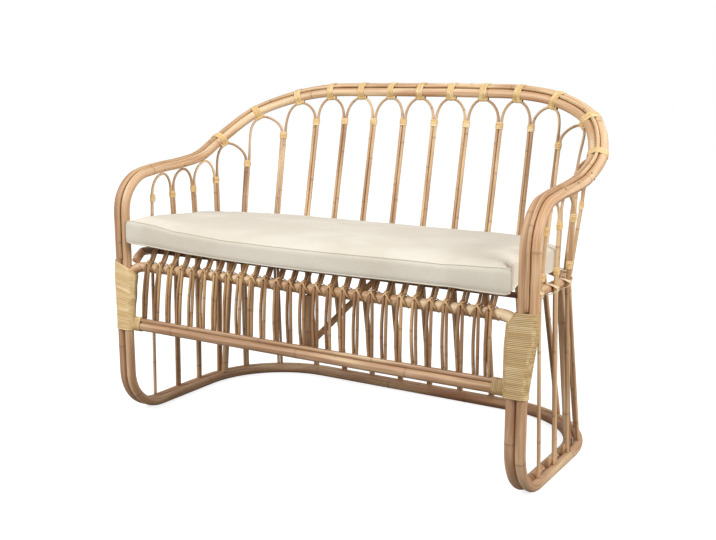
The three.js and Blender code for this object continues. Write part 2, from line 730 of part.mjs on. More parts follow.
// Centre post under the seat rail and the brace from its foot to the seat ring
const centrePostDepth = lowerRailDepth + lowerRailRadius + touchGap + centrePostDiameter / 2;
const centrePostFoot = lowerRailHeight - lowerRailRadius / 2;
const centrePostTop = seatRailHeight - seatRailRadius - lashingThickness - 2 * touchGap;
const centrePost = pole(
  [
    vec(centrePostShift, centrePostDepth, centrePostFoot),
    vec(centrePostShift, centrePostDepth, centrePostTop),
  ],
  vec(1, 0, 0),
  centrePostDiameter,
);
const braceFoot = vec(centrePostShift, centrePostDepth, centrePostFoot + braceFootRise);
const braceAim = vec(centrePostShift, ringDepth, ringRearHeight);
const braceRun = braceAim.clone().sub(braceFoot).normalize();
const braceTop = braceAim.clone().addScaledVector(braceRun, -ringRadius * flatToCorner(8) - touchGap);
const brace = pole([braceFoot, braceTop], vec(1, 0, 0), braceDiameter);
addPart("centre_brace", geometryOf(joined([centrePost, brace])), shadeColor, 0.55);

// Leg wraps: a lashed body round the doubled leg and the turned end of the seat rail,
// with a band round the end of the lower rail
const wrapReach = poleRadius + touchGap + wrapThickness;
const pairOuter = (z) => legWidthAt(z) + polePitch + wrapReach;
const pairInner = (z) => legWidthAt(z) - wrapReach;
const wrapMouthHeight = wrapTopHeight - wrapShoulderDrop;
const wrapHeelHeight = wrapTopHeight - wrapHeelDrop;
const railEndInner = seatRailEndX - seatRailRadius - wrapThickness - touchGap;
const wrapLevels = [
  { z: wrapTopHeight, inner: pairInner(wrapTopHeight) },
  { z: wrapMouthHeight, inner: railEndInner },
  { z: wrapHeelHeight, inner: railEndInner },
  { z: jointHeight, inner: pairInner(jointHeight) },
  { z: kinkFootHeight, inner: pairInner(kinkFootHeight) },
  { z: wrapFootHeight, inner: pairInner(wrapFootHeight) },
];

// A flat round-ended column whose inner and outer edges follow the levels
function wrapBody() {
  const end = sectionPoints(wrapReach * meanToCorner(12), 12);
  const ends = end.filter((spot) => spot.x > 0).sort((a, b) => a.y - b.y);
  const right = ends.map((spot) => new THREE.Vector2(spot.x + wrapReach, spot.y));
  const outline = [...right, ...right.map((spot) => new THREE.Vector2(-spot.x, -spot.y))];
  const last = wrapLevels.length - 1;
  const height = wrapTopHeight - wrapFootHeight;
  const body = new THREE.ExtrudeGeometry(new THREE.Shape(outline), {
    steps: last,
    depth: height,
    bevelEnabled: false,
  });
  const spots = body.attributes.position;
  for (let n = 0; n < spots.count; n += 1) {
    const level = wrapLevels[last - Math.round((spots.getZ(n) / height) * last)];
    const x = spots.getX(n);
    const outer = pairOuter(level.z);
    spots.setX(n, x > 0 ? outer - 2 * wrapReach + x : level.inner + 2 * wrapReach + x);
    spots.setY(n, spots.getY(n) + leanAt(level.z));
    spots.setZ(n, level.z);
  }
  return body;
}

function legWrap(side) {
  const bandStart = legWrapFace - railBandLength;
  const bandLine = [bandStart, legWrapFace + endMargin].map((x) => vec(x, lowerRailDepth, lowerRailHeight));
  const bandWith = (margin) =>
    hullOf([
      ...poleSection(lowerRailDiameter + 2 * margin),
      ...caneSection(trimCaneDiameter + 2 * margin, trimCaneHeight - lowerRailHeight, 0),
    ]);
  const band = sweep(bandWith(touchGap + wrapThickness), bandLine, vec(0, 0, 1));
  const bandHole = sweep(
    bandWith(touchGap),
    [vec(bandStart - endMargin, lowerRailDepth, lowerRailHeight), vec(legWrapFace, lowerRailDepth, lowerRailHeight)],
    vec(0, 0, 1),
  );
  const around = geometryOf(joined([wrapBody(), band]).subtract(joined([
    looseLeg(0),
    looseLeg(polePitch),
    bandHole,
  ])));
  const looseRail = solidOf(seatRailWith(touchGap));
  return geometryOf(solidOf(side > 0 ? around : mirrorImage(around)).subtract(looseRail));
}

addPart("right_leg_wrap", legWrap(1), lashingColor, 0.6);
addPart("left_leg_wrap", legWrap(-1), lashingColor, 0.6);

// Loose cushion: a boxed slab whose rear follows the hoops and leans back with them
function cushionOutline() {
  const width = cushionHalfWidth - cushionRounding;
  const front = -cushionFront + cushionRounding;
  const rear = cushionDepth - cushionRounding;
  const small = cushionFrontRadius;
  const large = cushionRearRadius;
  const shape = new THREE.Shape();
  shape.moveTo(-width + small, front);
  shape.lineTo(width - small, front);
  shape.absarc(width - small, front + small, small, -quarter, 0, false);
  shape.lineTo(width, rear - large);
  shape.absarc(width - large, rear - large, large, 0, quarter, false);
  shape.lineTo(-width + large, rear);
  shape.absarc(-width + large, rear - large, large, quarter, 2 * quarter, false);
  shape.lineTo(-width, front + small);
  shape.absarc(-width + small, front + small, small, 2 * quarter, 3 * quarter, false);
  return shape;
}

const cushionGeometry = new THREE.ExtrudeGeometry(cushionOutline(), {
  depth: cushionThickness - 2 * cushionRounding,
  bevelEnabled: true,
  bevelThickness: cushionRounding,
  bevelSize: cushionRounding,
  bevelSegments: 1,
  curveSegments: 6,
});
cushionGeometry.translate(0, 0, cushionRounding);
const backLean = (headDepth - ringDepth - waistOffset) / (jointHeights[0] - waistHeight);
const cushionSpots = cushionGeometry.attributes.position;
for (let n = 0; n < cushionSpots.count; n += 1) {
  const y = cushionSpots.getY(n);
  const rearShare = Math.max(y, 0) / cushionDepth;
  cushionSpots.setY(n, y + backLean * cushionSpots.getZ(n) * rearShare);
}
const cushion = addPart("seat_cushion", cushionGeometry, cushionColor, 0.9);
const deckTop = ringFrontHeight + overRing + seatCaneCorner + touchGap;
cushion.rotation.x = Math.atan(ringSlope);
cushion.position.set(0, 0, deckTop - ringSlope * deckBarDepth);

// Origin at the middle of the footprint
const bounds = new THREE.Box3().setFromObject(sofa);
sofa.position.y = -(bounds.min.y + bounds.max.y) / 2;

export default sofa;
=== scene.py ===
import math
import random

import bmesh
import bpy
from mathutils import Matrix, Vector, noise
from mathutils.bvhtree import BVHTree


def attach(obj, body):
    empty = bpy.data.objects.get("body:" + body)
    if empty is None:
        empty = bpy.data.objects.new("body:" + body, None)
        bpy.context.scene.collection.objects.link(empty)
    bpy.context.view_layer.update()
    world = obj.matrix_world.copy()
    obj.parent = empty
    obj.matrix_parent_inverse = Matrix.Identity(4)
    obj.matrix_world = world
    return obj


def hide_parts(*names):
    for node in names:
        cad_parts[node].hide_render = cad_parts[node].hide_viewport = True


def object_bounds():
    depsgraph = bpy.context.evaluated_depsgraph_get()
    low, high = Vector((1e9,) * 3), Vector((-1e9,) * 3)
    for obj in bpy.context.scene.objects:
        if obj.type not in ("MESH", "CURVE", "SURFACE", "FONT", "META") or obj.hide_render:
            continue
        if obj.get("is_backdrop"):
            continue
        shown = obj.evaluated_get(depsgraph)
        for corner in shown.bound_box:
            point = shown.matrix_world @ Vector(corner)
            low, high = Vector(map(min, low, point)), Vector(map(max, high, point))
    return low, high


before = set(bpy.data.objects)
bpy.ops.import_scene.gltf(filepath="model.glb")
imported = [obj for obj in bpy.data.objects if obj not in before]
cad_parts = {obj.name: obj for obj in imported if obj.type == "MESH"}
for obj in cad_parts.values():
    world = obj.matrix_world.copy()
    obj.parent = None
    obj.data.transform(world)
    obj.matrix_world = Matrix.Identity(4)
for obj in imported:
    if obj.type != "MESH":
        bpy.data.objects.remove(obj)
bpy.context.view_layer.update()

# Camera: a normal lens at chest height, in front of the sofa and to its right side,
# turned a little down so that the seat and the inside of the back both show.
def placed(name, data):
    """A new object of the scene."""
    item = bpy.data.objects.new(name, data)
    bpy.context.scene.collection.objects.link(item)
    return item


camera = placed("camera", bpy.data.cameras.new("camera"))
camera.location = (1.2642, -2.1003, 0.8695)
camera.rotation_euler = (math.radians(78.873), 0, math.radians(31.5225))
camera.data.sensor_width = 36
camera.data.lens = 50.04
bpy.context.scene.camera = camera
bpy.context.scene.view_settings.view_transform = "Standard"


# Studio: a wide white floor that keeps the soft shadow of the sofa, a white surround
# and two large soft lamps, one high on the left and one lower on the right.
def linear(tone):
    """A colour written as 0 to 255 on screen, as the shader wants it."""
    parts = [value / 255 for value in tone]
    return (*[p / 12.92 if p <= 0.04045 else ((p + 0.055) / 1.055) ** 2.4 for p in parts], 1)


class Finish:
    """A material, or the surround, with its shader and short calls for its nodes."""

    def __init__(self, name, kind="materials", shader="Principled BSDF"):
        self.owner = getattr(bpy.data, kind).new(name)
        self.owner.use_nodes = True
        self.nodes = self.owner.node_tree.nodes
        self.links = self.owner.node_tree.links
        self.shader = self.nodes[shader]

    def add(self, kind, settings=None, **inputs):
        node = self.nodes.new("ShaderNode" + kind)
        for key, value in (settings or {}).items():
            setattr(node, key, value)
        for key, value in inputs.items():
            self.feed(node.inputs[key.replace("_", " ")], value)
        return node

    def feed(self, socket, value):
        if isinstance(value, bpy.types.NodeSocket):
            self.links.new(value, socket)
        else:
            socket.default_value = value

    def math(self, operation, first, second=0.0):
        node = self.nodes.new("ShaderNodeMath")
        node.operation = operation
        self.feed(node.inputs[0], first)
        self.feed(node.inputs[1], second)
        return node.outputs[0]

    def mix(self, share, first, second, blend="MIX"):
        node = self.nodes.new("ShaderNodeMix")
        node.data_type = "RGBA"
        node.blend_type = blend
        self.feed(node.inputs["Factor"], share)
        self.feed(node.inputs["A"], first)
        self.feed(node.inputs["B"], second)
        return node.outputs["Result"]

    def ramp(self, share, low, high, top=1.0):
        node = self.nodes.new("ShaderNodeMapRange")
        node.interpolation_type = "SMOOTHSTEP"
        self.feed(node.inputs["Value"], share)
        node.inputs["From Min"].default_value = low
        node.inputs["From Max"].default_value = high
        node.inputs["To Max"].default_value = top
        return node.outputs["Result"]

    def grain(self, source, scale, detail):
        mapping = self.add("Mapping", Vector=source, Scale=scale)
        texture = self.add("TexNoise", Vector=mapping.outputs["Vector"], Scale=1.0, Detail=detail)
        return texture.outputs["Fac"]

    def dress(self, colour, relief=None, strength=0.3, depth=0.0005, **inputs):
        """Gives the shader its colour, a fine relief and other inputs by their names."""
        inputs["Base_Color"] = colour
        if relief:
            bump = self.add("Bump", Strength=strength, Distance=depth, Height=relief)
            inputs["Normal"] = bump.outputs["Normal"]
        for key, value in inputs.items():
            self.feed(self.shader.inputs[key.replace("_", " ")], value)
        return self.owner


floor = placed("floor", bpy.data.meshes.new("floor"))
floor_mesh = bmesh.new()
bmesh.ops.create_grid(floor_mesh, x_segments=4, y_segments=4, size=9)
floor_mesh.to_mesh(floor.data)
floor_mesh.free()
paper = Finish("floor_paper")
seen = paper.add("LightPath").outputs["Is Camera Ray"]
glow = paper.add("Emission", Color=(1, 1, 1, 1), Strength=0.8)
matte = paper.add("BsdfDiffuse", Color=(0.46, 0.46, 0.46, 1))
both = paper.add("AddShader")
paper.links.new(glow.outputs[0], both.inputs[0])
paper.links.new(matte.outputs[0], both.inputs[1])
plain = paper.add("BsdfDiffuse", Color=(0.3, 0.29, 0.28, 1))
choice = paper.add("MixShader", Fac=seen)
paper.links.new(plain.outputs[0], choice.inputs[1])
paper.links.new(both.outputs[0], choice.inputs[2])
paper.links.new(choice.outputs[0], paper.nodes["Material Output"].inputs["Surface"])
floor.data.materials.append(paper.owner)
floor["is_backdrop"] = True

surround = Finish("surround", "worlds", "Background")
path = surround.add("LightPath").outputs
seen_white = surround.math("ADD", path["Is Camera Ray"], path["Is Transmission Ray"])
level = surround.add("MapRange", Value=seen_white, To_Min=0.55)
surround.shader.inputs["Color"].default_value = (1, 1, 1, 1)
surround.feed(surround.shader.inputs["Strength"], level.outputs["Result"])
bpy.context.scene.world = surround.owner


def soft_lamp(name, place, aim, size, power):
    lamp = placed(name, bpy.data.lights.new(name, "AREA"))
    lamp.data.shape = "DISK"
    lamp.data.size = size
    lamp.data.energy = power
    lamp.location = place
    lamp.rotation_euler = (Vector(aim) - Vector(place)).to_track_quat("-Z", "Y").to_euler()


soft_lamp("key_lamp", (-1.9, -3.3, 3.3), (0, 0, 0.4), 2.4, 118)
soft_lamp("side_lamp", (3.5, -0.6, 2.3), (0, 0, 0.5), 1.8, 95)


# Top rail: two rattan poles side by side, steamed and bent in one sweep from one arm over
# the back to the other. Their skin is honey brown, with a ring at every knuckle.
# Sizes are millimetres, and depths are measured back from the front of the seat frame.
front_line = -302.617
pole_width = 23.0
touch_gap = 0.3
pole_pitch = pole_width + touch_gap
arm_half_width = 536.4
arm_set_back = 16.5
leg_half_width = 523.9
rail_depth = 583.0
rail_height = 822.0
# Shares of the rail's width, depth and height at ten hoops, from the middle of the back to
# the front of the arm, and how far its outer pole is turned sideways and tilted there
rail_width_shares = [0, 0.168, 0.34, 0.522, 0.712, 0.903, 0.999, 1, 1, 1]
rail_depth_shares = [1, 1.004, 1.002, 0.991, 0.969, 0.863, 0.692, 0.549, 0.403, 0.2688]
rail_height_shares = [1, 1, 0.999, 0.996, 0.977, 0.9253, 0.8376, 0.7893, 0.7719, 0.765]
rail_turn_shares = [1, 1, 0.985, 0.93, 0.78, 0.5, 0.17, 0.02, 0, 0]
rail_tilt_shares = [1, 1, 1, 1, 0.9, 0.55, 0.2, 0, 0, 0]
back_tilt = 0.6
shoulder_depth = 100.0
shoulder_rise = 96.0
shoulder_height = 528.0
shoulder_bends = 5
wrap_top = 408.0
wrap_foot = 230.0
kink_top = 365.0
kink_foot = 250.0
leg_joint = (kink_top + kink_foot) / 2
quarter = math.pi / 2
rightwards = Vector((1, 0, 0))
backwards = Vector((0, 1, 0))
upwards = Vector((0, 0, 1))


def in_room(point):
    """A point of the sofa's own measure, as it stands on the floor, in metres."""
    return Vector((point.x, point.y + front_line, point.z)) / 1000


def mirrored(vector):
    return Vector((-vector.x, vector.y, vector.z))


def sided(flip, *vectors):
    """The vectors as they are, or mirrored for the other half of the sofa."""
    return [mirrored(vector) for vector in vectors] if flip else list(vectors)


def clamp(value, low=0.0, high=1.0):
    return min(max(value, low), high)


def lerp(first, second, share):
    return first + (second - first) * share


def between(value, start, end):
    """How far a value has come from start to end, as a share of 0 to 1."""
    return clamp((value - start) / (end - start))


def share_at(table, station):
    place = clamp(station, 0, len(table) - 1)
    index = min(int(place), len(table) - 2)
    return lerp(table[index], table[index + 1], place - index)


def through(points, place):
    """The smooth bend through some points, at a place counted in points."""
    last = len(points) - 1
    index = min(int(clamp(place, 0, last)), last - 1)
    share = place - index
    b, c = points[index], points[index + 1]
    a = points[index - 1] if index > 0 else b * 2 - c
    d = points[index + 2] if index + 2 <= last else c * 2 - b
    steps = [max((p - q).length_squared, 1e-8) ** 0.25 for p, q in ((b, a), (c, b), (d, c))]
    leave = ((b - a) / steps[0] - (c - a) / (steps[0] + steps[1]) + (c - b) / steps[1]) * steps[1]
    reach = ((c - b) / steps[1] - (d - b) / (steps[1] + steps[2]) + (d - c) / steps[2]) * steps[1]
    square = (c - b) * 3 - leave * 2 - reach
    cube = (b - c) * 2 + leave + reach
    return b + leave * share + square * share**2 + cube * share**3


rail_points = [
    Vector((width * arm_half_width, depth * rail_depth, height * rail_height))
    for width, depth, height in zip(rail_width_shares, rail_depth_shares, rail_height_shares)
]
for bend in range(shoulder_bends):
    turn = quarter * (1 - bend / (shoulder_bends - 1))
    depth = arm_set_back + shoulder_depth * (1 - math.cos(turn))
    height = shoulder_height + shoulder_rise * math.sin(turn)
    rail_points.append(Vector((arm_half_width, depth, height)))
rail_points.append(Vector((arm_half_width, arm_set_back, wrap_top)))
rail_line = [mirrored(point) for point in rail_points[:0:-1]] + rail_points
rail_middle = len(rail_points) - 1


def rail_at(station):
    return through(rail_line, rail_middle + station)


def rail_frame(station):
    """Place of the inner pole with the way to the outer pole and the way to the crown."""
    along = (rail_at(station + 0.02) - rail_at(station - 0.02)).normalized()
    turn = quarter * share_at(rail_turn_shares, station)
    flat = Vector((math.cos(turn), math.sin(turn), 0))
    flat = (flat - along * flat.dot(along)).normalized()
    rise = along.cross(flat)
    tilt = back_tilt * share_at(rail_tilt_shares, station)
    outward = flat * math.cos(tilt) + rise * math.sin(tilt)
    crown = rise * math.cos(tilt) - flat * math.sin(tilt)
    return rail_at(station), outward, crown


def leg_frame(height):
    lean = arm_set_back * between(height, wrap_foot, wrap_top)
    width = lerp(leg_half_width, arm_half_width, between(height, kink_foot, kink_top))
    return Vector((width, lean, height)), rightwards, -backwards


def both_halves(half):
    """Samples from the middle outwards, completed with their mirror image."""
    return [sided(True, *sample) for sample in half[:0:-1]] + half


def shifted(samples, outwards, crowns=0.0):
    """A run of places with side directions, off the samples by some millimetres."""
    return [
        (place + outward * outwards + crown * crowns, outward)
        for place, outward, crown in samples
    ]


def lengths_of(run):
    total = [0.0]
    for (near, _), (far, _) in zip(run, run[1:]):
        total.append(total[-1] + (far - near).length)
    return total


def new_shell():
    """An empty mesh whose points also remember where they lie on the straight stem."""
    shell = bmesh.new()
    shell.verts.layers.float_vector.new("straight")
    shell.verts.layers.float.new("knuckle_and_seam_shade")
    return shell


def around(vert):
    return math.atan2(vert.co.y, vert.co.x) % (2 * math.pi)


def circle_at(centre, side, cross, radius, count):
    angles = [2 * math.pi * number / count for number in range(count)]
    return [centre + (side * math.cos(a) + cross * math.sin(a)) * radius for a in angles]


def draw_out(shell, rings, closed=False):
    """Draws a tube out of one circle of edges. Each ring has its points, their places
    on the straight stem and its dark share: the knuckle ring on a stem, and painted
    shade in the seams of a lashing."""
    straight = shell.verts.layers.float_vector["straight"]
    knuckle_and_seam_shade = shell.verts.layers.float["knuckle_and_seam_shade"]
    ring = bmesh.ops.create_circle(shell, segments=len(rings[0][0]), radius=1)["verts"]
    ring.sort(key=around)
    edges = list({edge for vert in ring for edge in vert.link_edges})
    first_edges = edges
    for number, (points, stems, dark) in enumerate(rings):
        if number:
            grown = bmesh.ops.extrude_edge_only(shell, edges=edges)["geom"]
            fresh = {item for item in grown if isinstance(item, bmesh.types.BMVert)}
            ring = [
                next(other for edge in vert.link_edges if (other := edge.other_vert(vert)) in fresh)
                for vert in ring
            ]
            edges = [
                item for item in grown
                if isinstance(item, bmesh.types.BMEdge) and fresh.issuperset(item.verts)
            ]
        for vert, point, stem in zip(ring, points, stems):
            vert.co = in_room(point)
            vert[straight] = stem
            vert[knuckle_and_seam_shade] = dark
    if closed:
        bmesh.ops.bridge_loops(shell, edges=first_edges + edges)
    else:
        bmesh.ops.contextual_create(shell, geom=first_edges)
        bmesh.ops.contextual_create(shell, geom=edges)


knuckle_shifts = (-7, -3, -1.2, 0, 1.2, 3, 7)
swelling_reach = 4.5
dark_ring_reach = 2.1
unevenness = 0.008
shortest_step = 0.6
end_rounding = 0.88


def add_stem(shell, run, width, sides, seed, spacing, step=9.0, girths=None, swell=0.022):
    """A rattan stem along a run: round, a little uneven, swollen and ringed at knuckles.
    The girths are its shares of the full width at every sample of the run."""
    chance = random.Random(seed)
    girths = girths or [1.0] * len(run)
    lengths = lengths_of(run)
    total = lengths[-1]
    knuckles = [chance.uniform(20, spacing[0])]
    while knuckles[-1] < total:
        knuckles.append(knuckles[-1] + chance.uniform(*spacing))
    count = max(int(total / step), 2)
    places = {round(total * n / count, 3) for n in range(count + 1)}
    for middle in knuckles:
        near = [middle + shift for shift in knuckle_shifts]
        places.update(round(spot, 3) for spot in near if 1 < spot < total - 1)
    kept = [0.0]
    for spot in sorted(places)[1:]:
        if spot - kept[-1] > shortest_step:
            kept.append(spot)
    kept[-1] = total
    kept = [0.0, 0.5, *[spot for spot in kept if 1 < spot < total - 1], total - 0.5, total]
    offset = chance.uniform(0, 40)
    rings = []
    index = 0
    for spot in kept:
        while index < len(lengths) - 2 and lengths[index + 1] < spot:
            index += 1
        span = lengths[index + 1] - lengths[index]
        share = clamp((spot - lengths[index]) / span) if span else 0
        place = run[index][0].lerp(run[index + 1][0], share)
        ahead = behind = run[index + 1][0] - run[index][0]
        if share > 0.5 and index + 2 < len(run):
            ahead = run[index + 2][0] - run[index + 1][0]
        elif share <= 0.5 and index > 0:
            behind = run[index][0] - run[index - 1][0]
        along = (ahead.normalized() + behind.normalized()).normalized()
        side = run[index][1].lerp(run[index + 1][1], share)
        side = (side - along * side.dot(along)).normalized()
        cross = along.cross(side)
        near = min(abs(spot - middle) for middle in knuckles)
        bump = math.exp(-((near / swelling_reach) ** 2))
        dark = math.exp(-((near / dark_ring_reach) ** 2))
        uneven = noise.noise(Vector((spot / 60, offset, 0)))
        radius = width / 2 * (1 - swell + swell * bump + unevenness * uneven)
        radius *= lerp(girths[index], girths[index + 1], share)
        if spot in (0.0, total):
            radius *= end_rounding
        points = circle_at(place, side, cross, min(radius, width / 2), sides)
        unbent = Vector((spot / 1000 + offset, offset / 9, 0))
        rings.append((points, circle_at(unbent, backwards, upwards, width / 2000, sides), dark))
    draw_out(shell, rings)


def finish_piece(shell, name, material, slot, *nodes):
    """The mesh becomes a piece of the sofa's frame that stands in for some solids."""
    bmesh.ops.recalc_face_normals(shell, faces=shell.faces)
    piece = placed(name, bpy.data.meshes.new(name))
    shell.to_mesh(piece.data)
    shell.free()
    piece.data.shade_smooth()
    piece.data.set_sharp_from_angle(angle=math.radians(50))
    piece.data.materials.append(material)
    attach(piece, "sofa_frame")
    if nodes:
        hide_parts(*nodes)


def rattan(name, deep, middle, pale, stain, ring, gloss=0.4):
    """Rattan skin: streaks and patches along the stem, dark rings and small flecks."""
    skin = Finish(name)
    deep, middle, pale, stain, ring = map(linear, (deep, middle, pale, stain, ring))
    stem = skin.add("Attribute", {"attribute_name": "straight"}).outputs["Vector"]
    knuckle_and_seam_shade = skin.add("Attribute", {"attribute_name": "knuckle_and_seam_shade"}).outputs["Fac"]
    streak = skin.grain(stem, (4.5, 190, 190), 3)
    patch = skin.grain(stem, (5, 42, 42), 2)
    cloud = skin.grain(stem, (1.6, 9, 9), 1)
    fibre = skin.grain(stem, (14, 1100, 1100), 1)
    fleck = skin.grain(stem, (120, 520, 520), 1)
    colour = skin.mix(skin.ramp(streak, 0.36, 0.66), deep, middle)
    colour = skin.mix(skin.ramp(patch, 0.44, 0.72), colour, pale)
    colour = skin.mix(skin.ramp(cloud, 0.52, 0.74, 0.75), colour, stain, "MULTIPLY")
    colour = skin.mix(skin.ramp(fibre, 0.5, 0.8, 0.28), colour, ring, "MULTIPLY")
    colour = skin.mix(skin.ramp(fleck, 0.72, 0.78, 0.55), colour, ring)
    colour = skin.mix(skin.math("MULTIPLY", knuckle_and_seam_shade, 0.5), colour, ring)
    rough = skin.math("ADD", skin.ramp(streak, 0.3, 0.7, 0.16), gloss)
    relief = skin.math("ADD", skin.math("MULTIPLY", fibre, 0.4), streak)
    return skin.dress(
        colour, relief, 0.35, 0.0006, Roughness=rough, Coat_Weight=0.12, Coat_Roughness=0.3
    )


pole_skin = rattan(
    "rattan_pole_skin",
    deep=(198, 152, 110), middle=(224, 187, 147), pale=(242, 214, 174),
    stain=(228, 200, 186), ring=(142, 100, 70),
)

rail_half = [rail_frame(station / 12) for station in range(12 * 14 + 1)]
arm_top, arm_foot = shoulder_height - 6, leg_joint + touch_gap / 2
arm_legs = [leg_frame(lerp(arm_top, arm_foot, n / 26)) for n in range(27)]
upper_run = both_halves(rail_half + arm_legs)
for name, outwards, seed, node in (
    ("top_rail_inner", 0.0, 3, "upper_inner_pole"),
    ("top_rail_outer", pole_pitch, 8, "upper_outer_pole"),
):
    shell = new_shell()
    add_stem(shell, shifted(upper_run, outwards), pole_width, 16, seed, (190, 420))
    finish_piece(shell, name, pole_skin, "rattan_pole", node)


# Groove cane: one long thin cane laid in the valley between the two rail poles, on the
# side that people see. It hides the gap and ends above the leg wraps.
groove_width = 9.0
groove_rise = 11.858
cane_skin = rattan(
    "rattan_cane_skin",
    deep=(182, 140, 102), middle=(218, 182, 140), pale=(240, 210, 164),
    stain=(200, 178, 164), ring=(118, 86, 62),
)
groove_legs = [leg_frame(lerp(arm_top, wrap_top + 1, n / 13)) for n in range(14)]
shell = new_shell()
groove_run = shifted(both_halves(rail_half + groove_legs), pole_pitch / 2, groove_rise)
add_stem(shell, groove_run, groove_width, 10, 21, (160, 300))
finish_piece(shell, "groove_cane_round", cane_skin, "rattan_cane", "groove_cane")


# Base poles: two more poles side by side. They start under the legs, turn in at the
# feet and run flat on the floor round the back, so the sofa stands on a broad loop.
base_depth = 546.0
base_corner = 230.0
foot_radius = 105.0


def base_half():
    """The right half of the loop, from the middle of the back to under the leg."""
    half = []
    for n in range(31):
        x = lerp(0, leg_half_width - base_corner, n / 30)
        half.append((Vector((x, base_depth, pole_width / 2)), backwards))
    for n in range(1, 37):
        turn = quarter * n / 36
        out = Vector((math.sin(turn), math.cos(turn), 0))
        centre = Vector((leg_half_width - base_corner, base_depth - base_corner, pole_width / 2))
        half.append((centre + out * base_corner, out))
    for n in range(1, 21):
        depth = lerp(base_depth - base_corner, foot_radius, n / 20)
        half.append((Vector((leg_half_width, depth, pole_width / 2)), rightwards))
    for n in range(1, 17):
        turn = quarter * n / 16
        depth = foot_radius * (1 - math.sin(turn))
        height = pole_width / 2 + foot_radius * (1 - math.cos(turn))
        half.append((Vector((leg_half_width, depth, height)), rightwards))
    for n in range(1, 20):
        height = lerp(pole_width / 2 + foot_radius, leg_joint - touch_gap / 2, n / 19)
        half.append((leg_frame(height)[0], rightwards))
    return half


# A darker copy of the pole skin: painted shade on the base loop and the lower rail, low under the
# seat.
shaded_base_skin = rattan(
    "rattan_base_skin_painted_shade",
    deep=(172, 130, 94), middle=(200, 160, 124), pale=(222, 190, 150),
    stain=(218, 190, 176), ring=(124, 86, 60),
)
for name, outwards, seed, node in (
    ("base_pole_inner", 0.0, 31, "base_inner_pole"),
    ("base_pole_outer", pole_pitch, 35, "base_outer_pole"),
):
    half = [(place + out * outwards, out) for place, out in base_half()]
    shell = new_shell()
    add_stem(shell, both_halves(half), pole_width, 16, seed, (210, 430))
    finish_piece(shell, name, shaded_base_skin, "rattan_pole", node)


# Seat ring: a bent pole inside the hoops that carries the seat, with a straight deck
# bar let in between its arms at the front. Both are whole poles, nailed together.
ring_width = 22.0
ring_half_width = 520.0
ring_depth = 485.0
ring_corner = 244.0
ring_front_height = 424.0
ring_rear_height = 410.0
deck_bar_depth = 55.4
ring_slope = (ring_rear_height - ring_front_height) / (ring_depth - deck_bar_depth)


def ring_height(depth):
    return ring_front_height + ring_slope * (depth - deck_bar_depth)


def row_place(row, place, slide=0.0):
    """Where a place lies on a rounded row: 0 to 1 on its back, to 2 on its corner, to 3
    on its arm. Also the way along the row."""
    half_width, depth, corner_width, corner_depth = row
    turn = clamp(place - 1) * quarter
    along = Vector((corner_width * math.cos(turn), -corner_depth * math.sin(turn), 0)).normalized()
    x = min(place, 1) * (half_width - corner_width) + corner_width * math.sin(turn)
    y = depth - corner_depth * (1 - math.cos(turn)) - max(place - 2, 0) * (depth - corner_depth)
    return Vector((x, y, 0)) + along * slide, along


ring_row = (ring_half_width, ring_depth, ring_corner, ring_corner)
ring_places = [n / 25 for n in range(26)] + [1 + n / 36 for n in range(1, 37)]
ring_end = 3 - deck_bar_depth / (ring_depth - ring_corner)
ring_places += [lerp(2, ring_end, n / 18) for n in range(1, 19)]
ring_half = []
for place in ring_places:
    spot = row_place(ring_row, place)[0]
    spot.z = ring_height(spot.y)
    ring_half.append((spot, upwards))
# Its ends run a little past the deck bar, and the left one turns down behind the leg
right_nose = Vector((ring_half_width + 2, deck_bar_depth - 14, ring_front_height - 6))
left_turn = Vector((3.5 - ring_half_width, deck_bar_depth - 22, ring_front_height - 11))
left_nose = Vector((6.5 - ring_half_width, deck_bar_depth - 31, ring_front_height - 19))
ring_run = [(left_nose, upwards), (left_turn, upwards)]
ring_run += both_halves(ring_half) + [(right_nose, upwards)]
shell = new_shell()
add_stem(shell, ring_run, ring_width, 14, 41, (200, 380))
finish_piece(shell, "seat_ring_round", pole_skin, "under_frame", "seat_ring")

# A dark copy of the pole skin for the deck bar: painted shade from the cushion over it.
shade_skin = rattan(
    "shaded_rattan_skin",
    deep=(104, 70, 50), middle=(134, 94, 66), pale=(160, 118, 84),
    stain=(196, 160, 140), ring=(74, 50, 36), gloss=0.5,
)
bar_width = 13.0
bar_height = ring_front_height + (ring_width - bar_width) / 2


def straight_run(start, end, steps, side):
    return [(start.lerp(end, n / steps), side) for n in range(steps + 1)]


bar_end = Vector((ring_half_width, deck_bar_depth, bar_height))
shell = new_shell()
bar = straight_run(mirrored(bar_end), bar_end, 60, upwards)
add_stem(shell, bar, bar_width, 12, 43, (200, 380))
finish_piece(shell, "deck_bar", shade_skin, "under_frame")


# Hoops of the back and the arms: nineteen canes, each bent to a tall arch. Its two legs
# stand on the base pole, lean against the seat ring and meet those of the next hoops.
hoop_width = 8.6
hoop_pitch = hoop_width + touch_gap
hoop_reach = hoop_width / (1 + math.cos(math.pi / 6))
waist_height = 408.0
waist_offset = ring_width / 2 + touch_gap + hoop_reach
head_half_width = 540.0
head_depth = 572.0
head_row = (head_half_width, head_depth, head_half_width * 0.53704, head_depth * 0.50699)
waist_row = tuple(size + waist_offset for size in ring_row)
base_row = (leg_half_width, base_depth, base_corner, base_corner)
foot_row = tuple(size + pole_pitch for size in base_row)
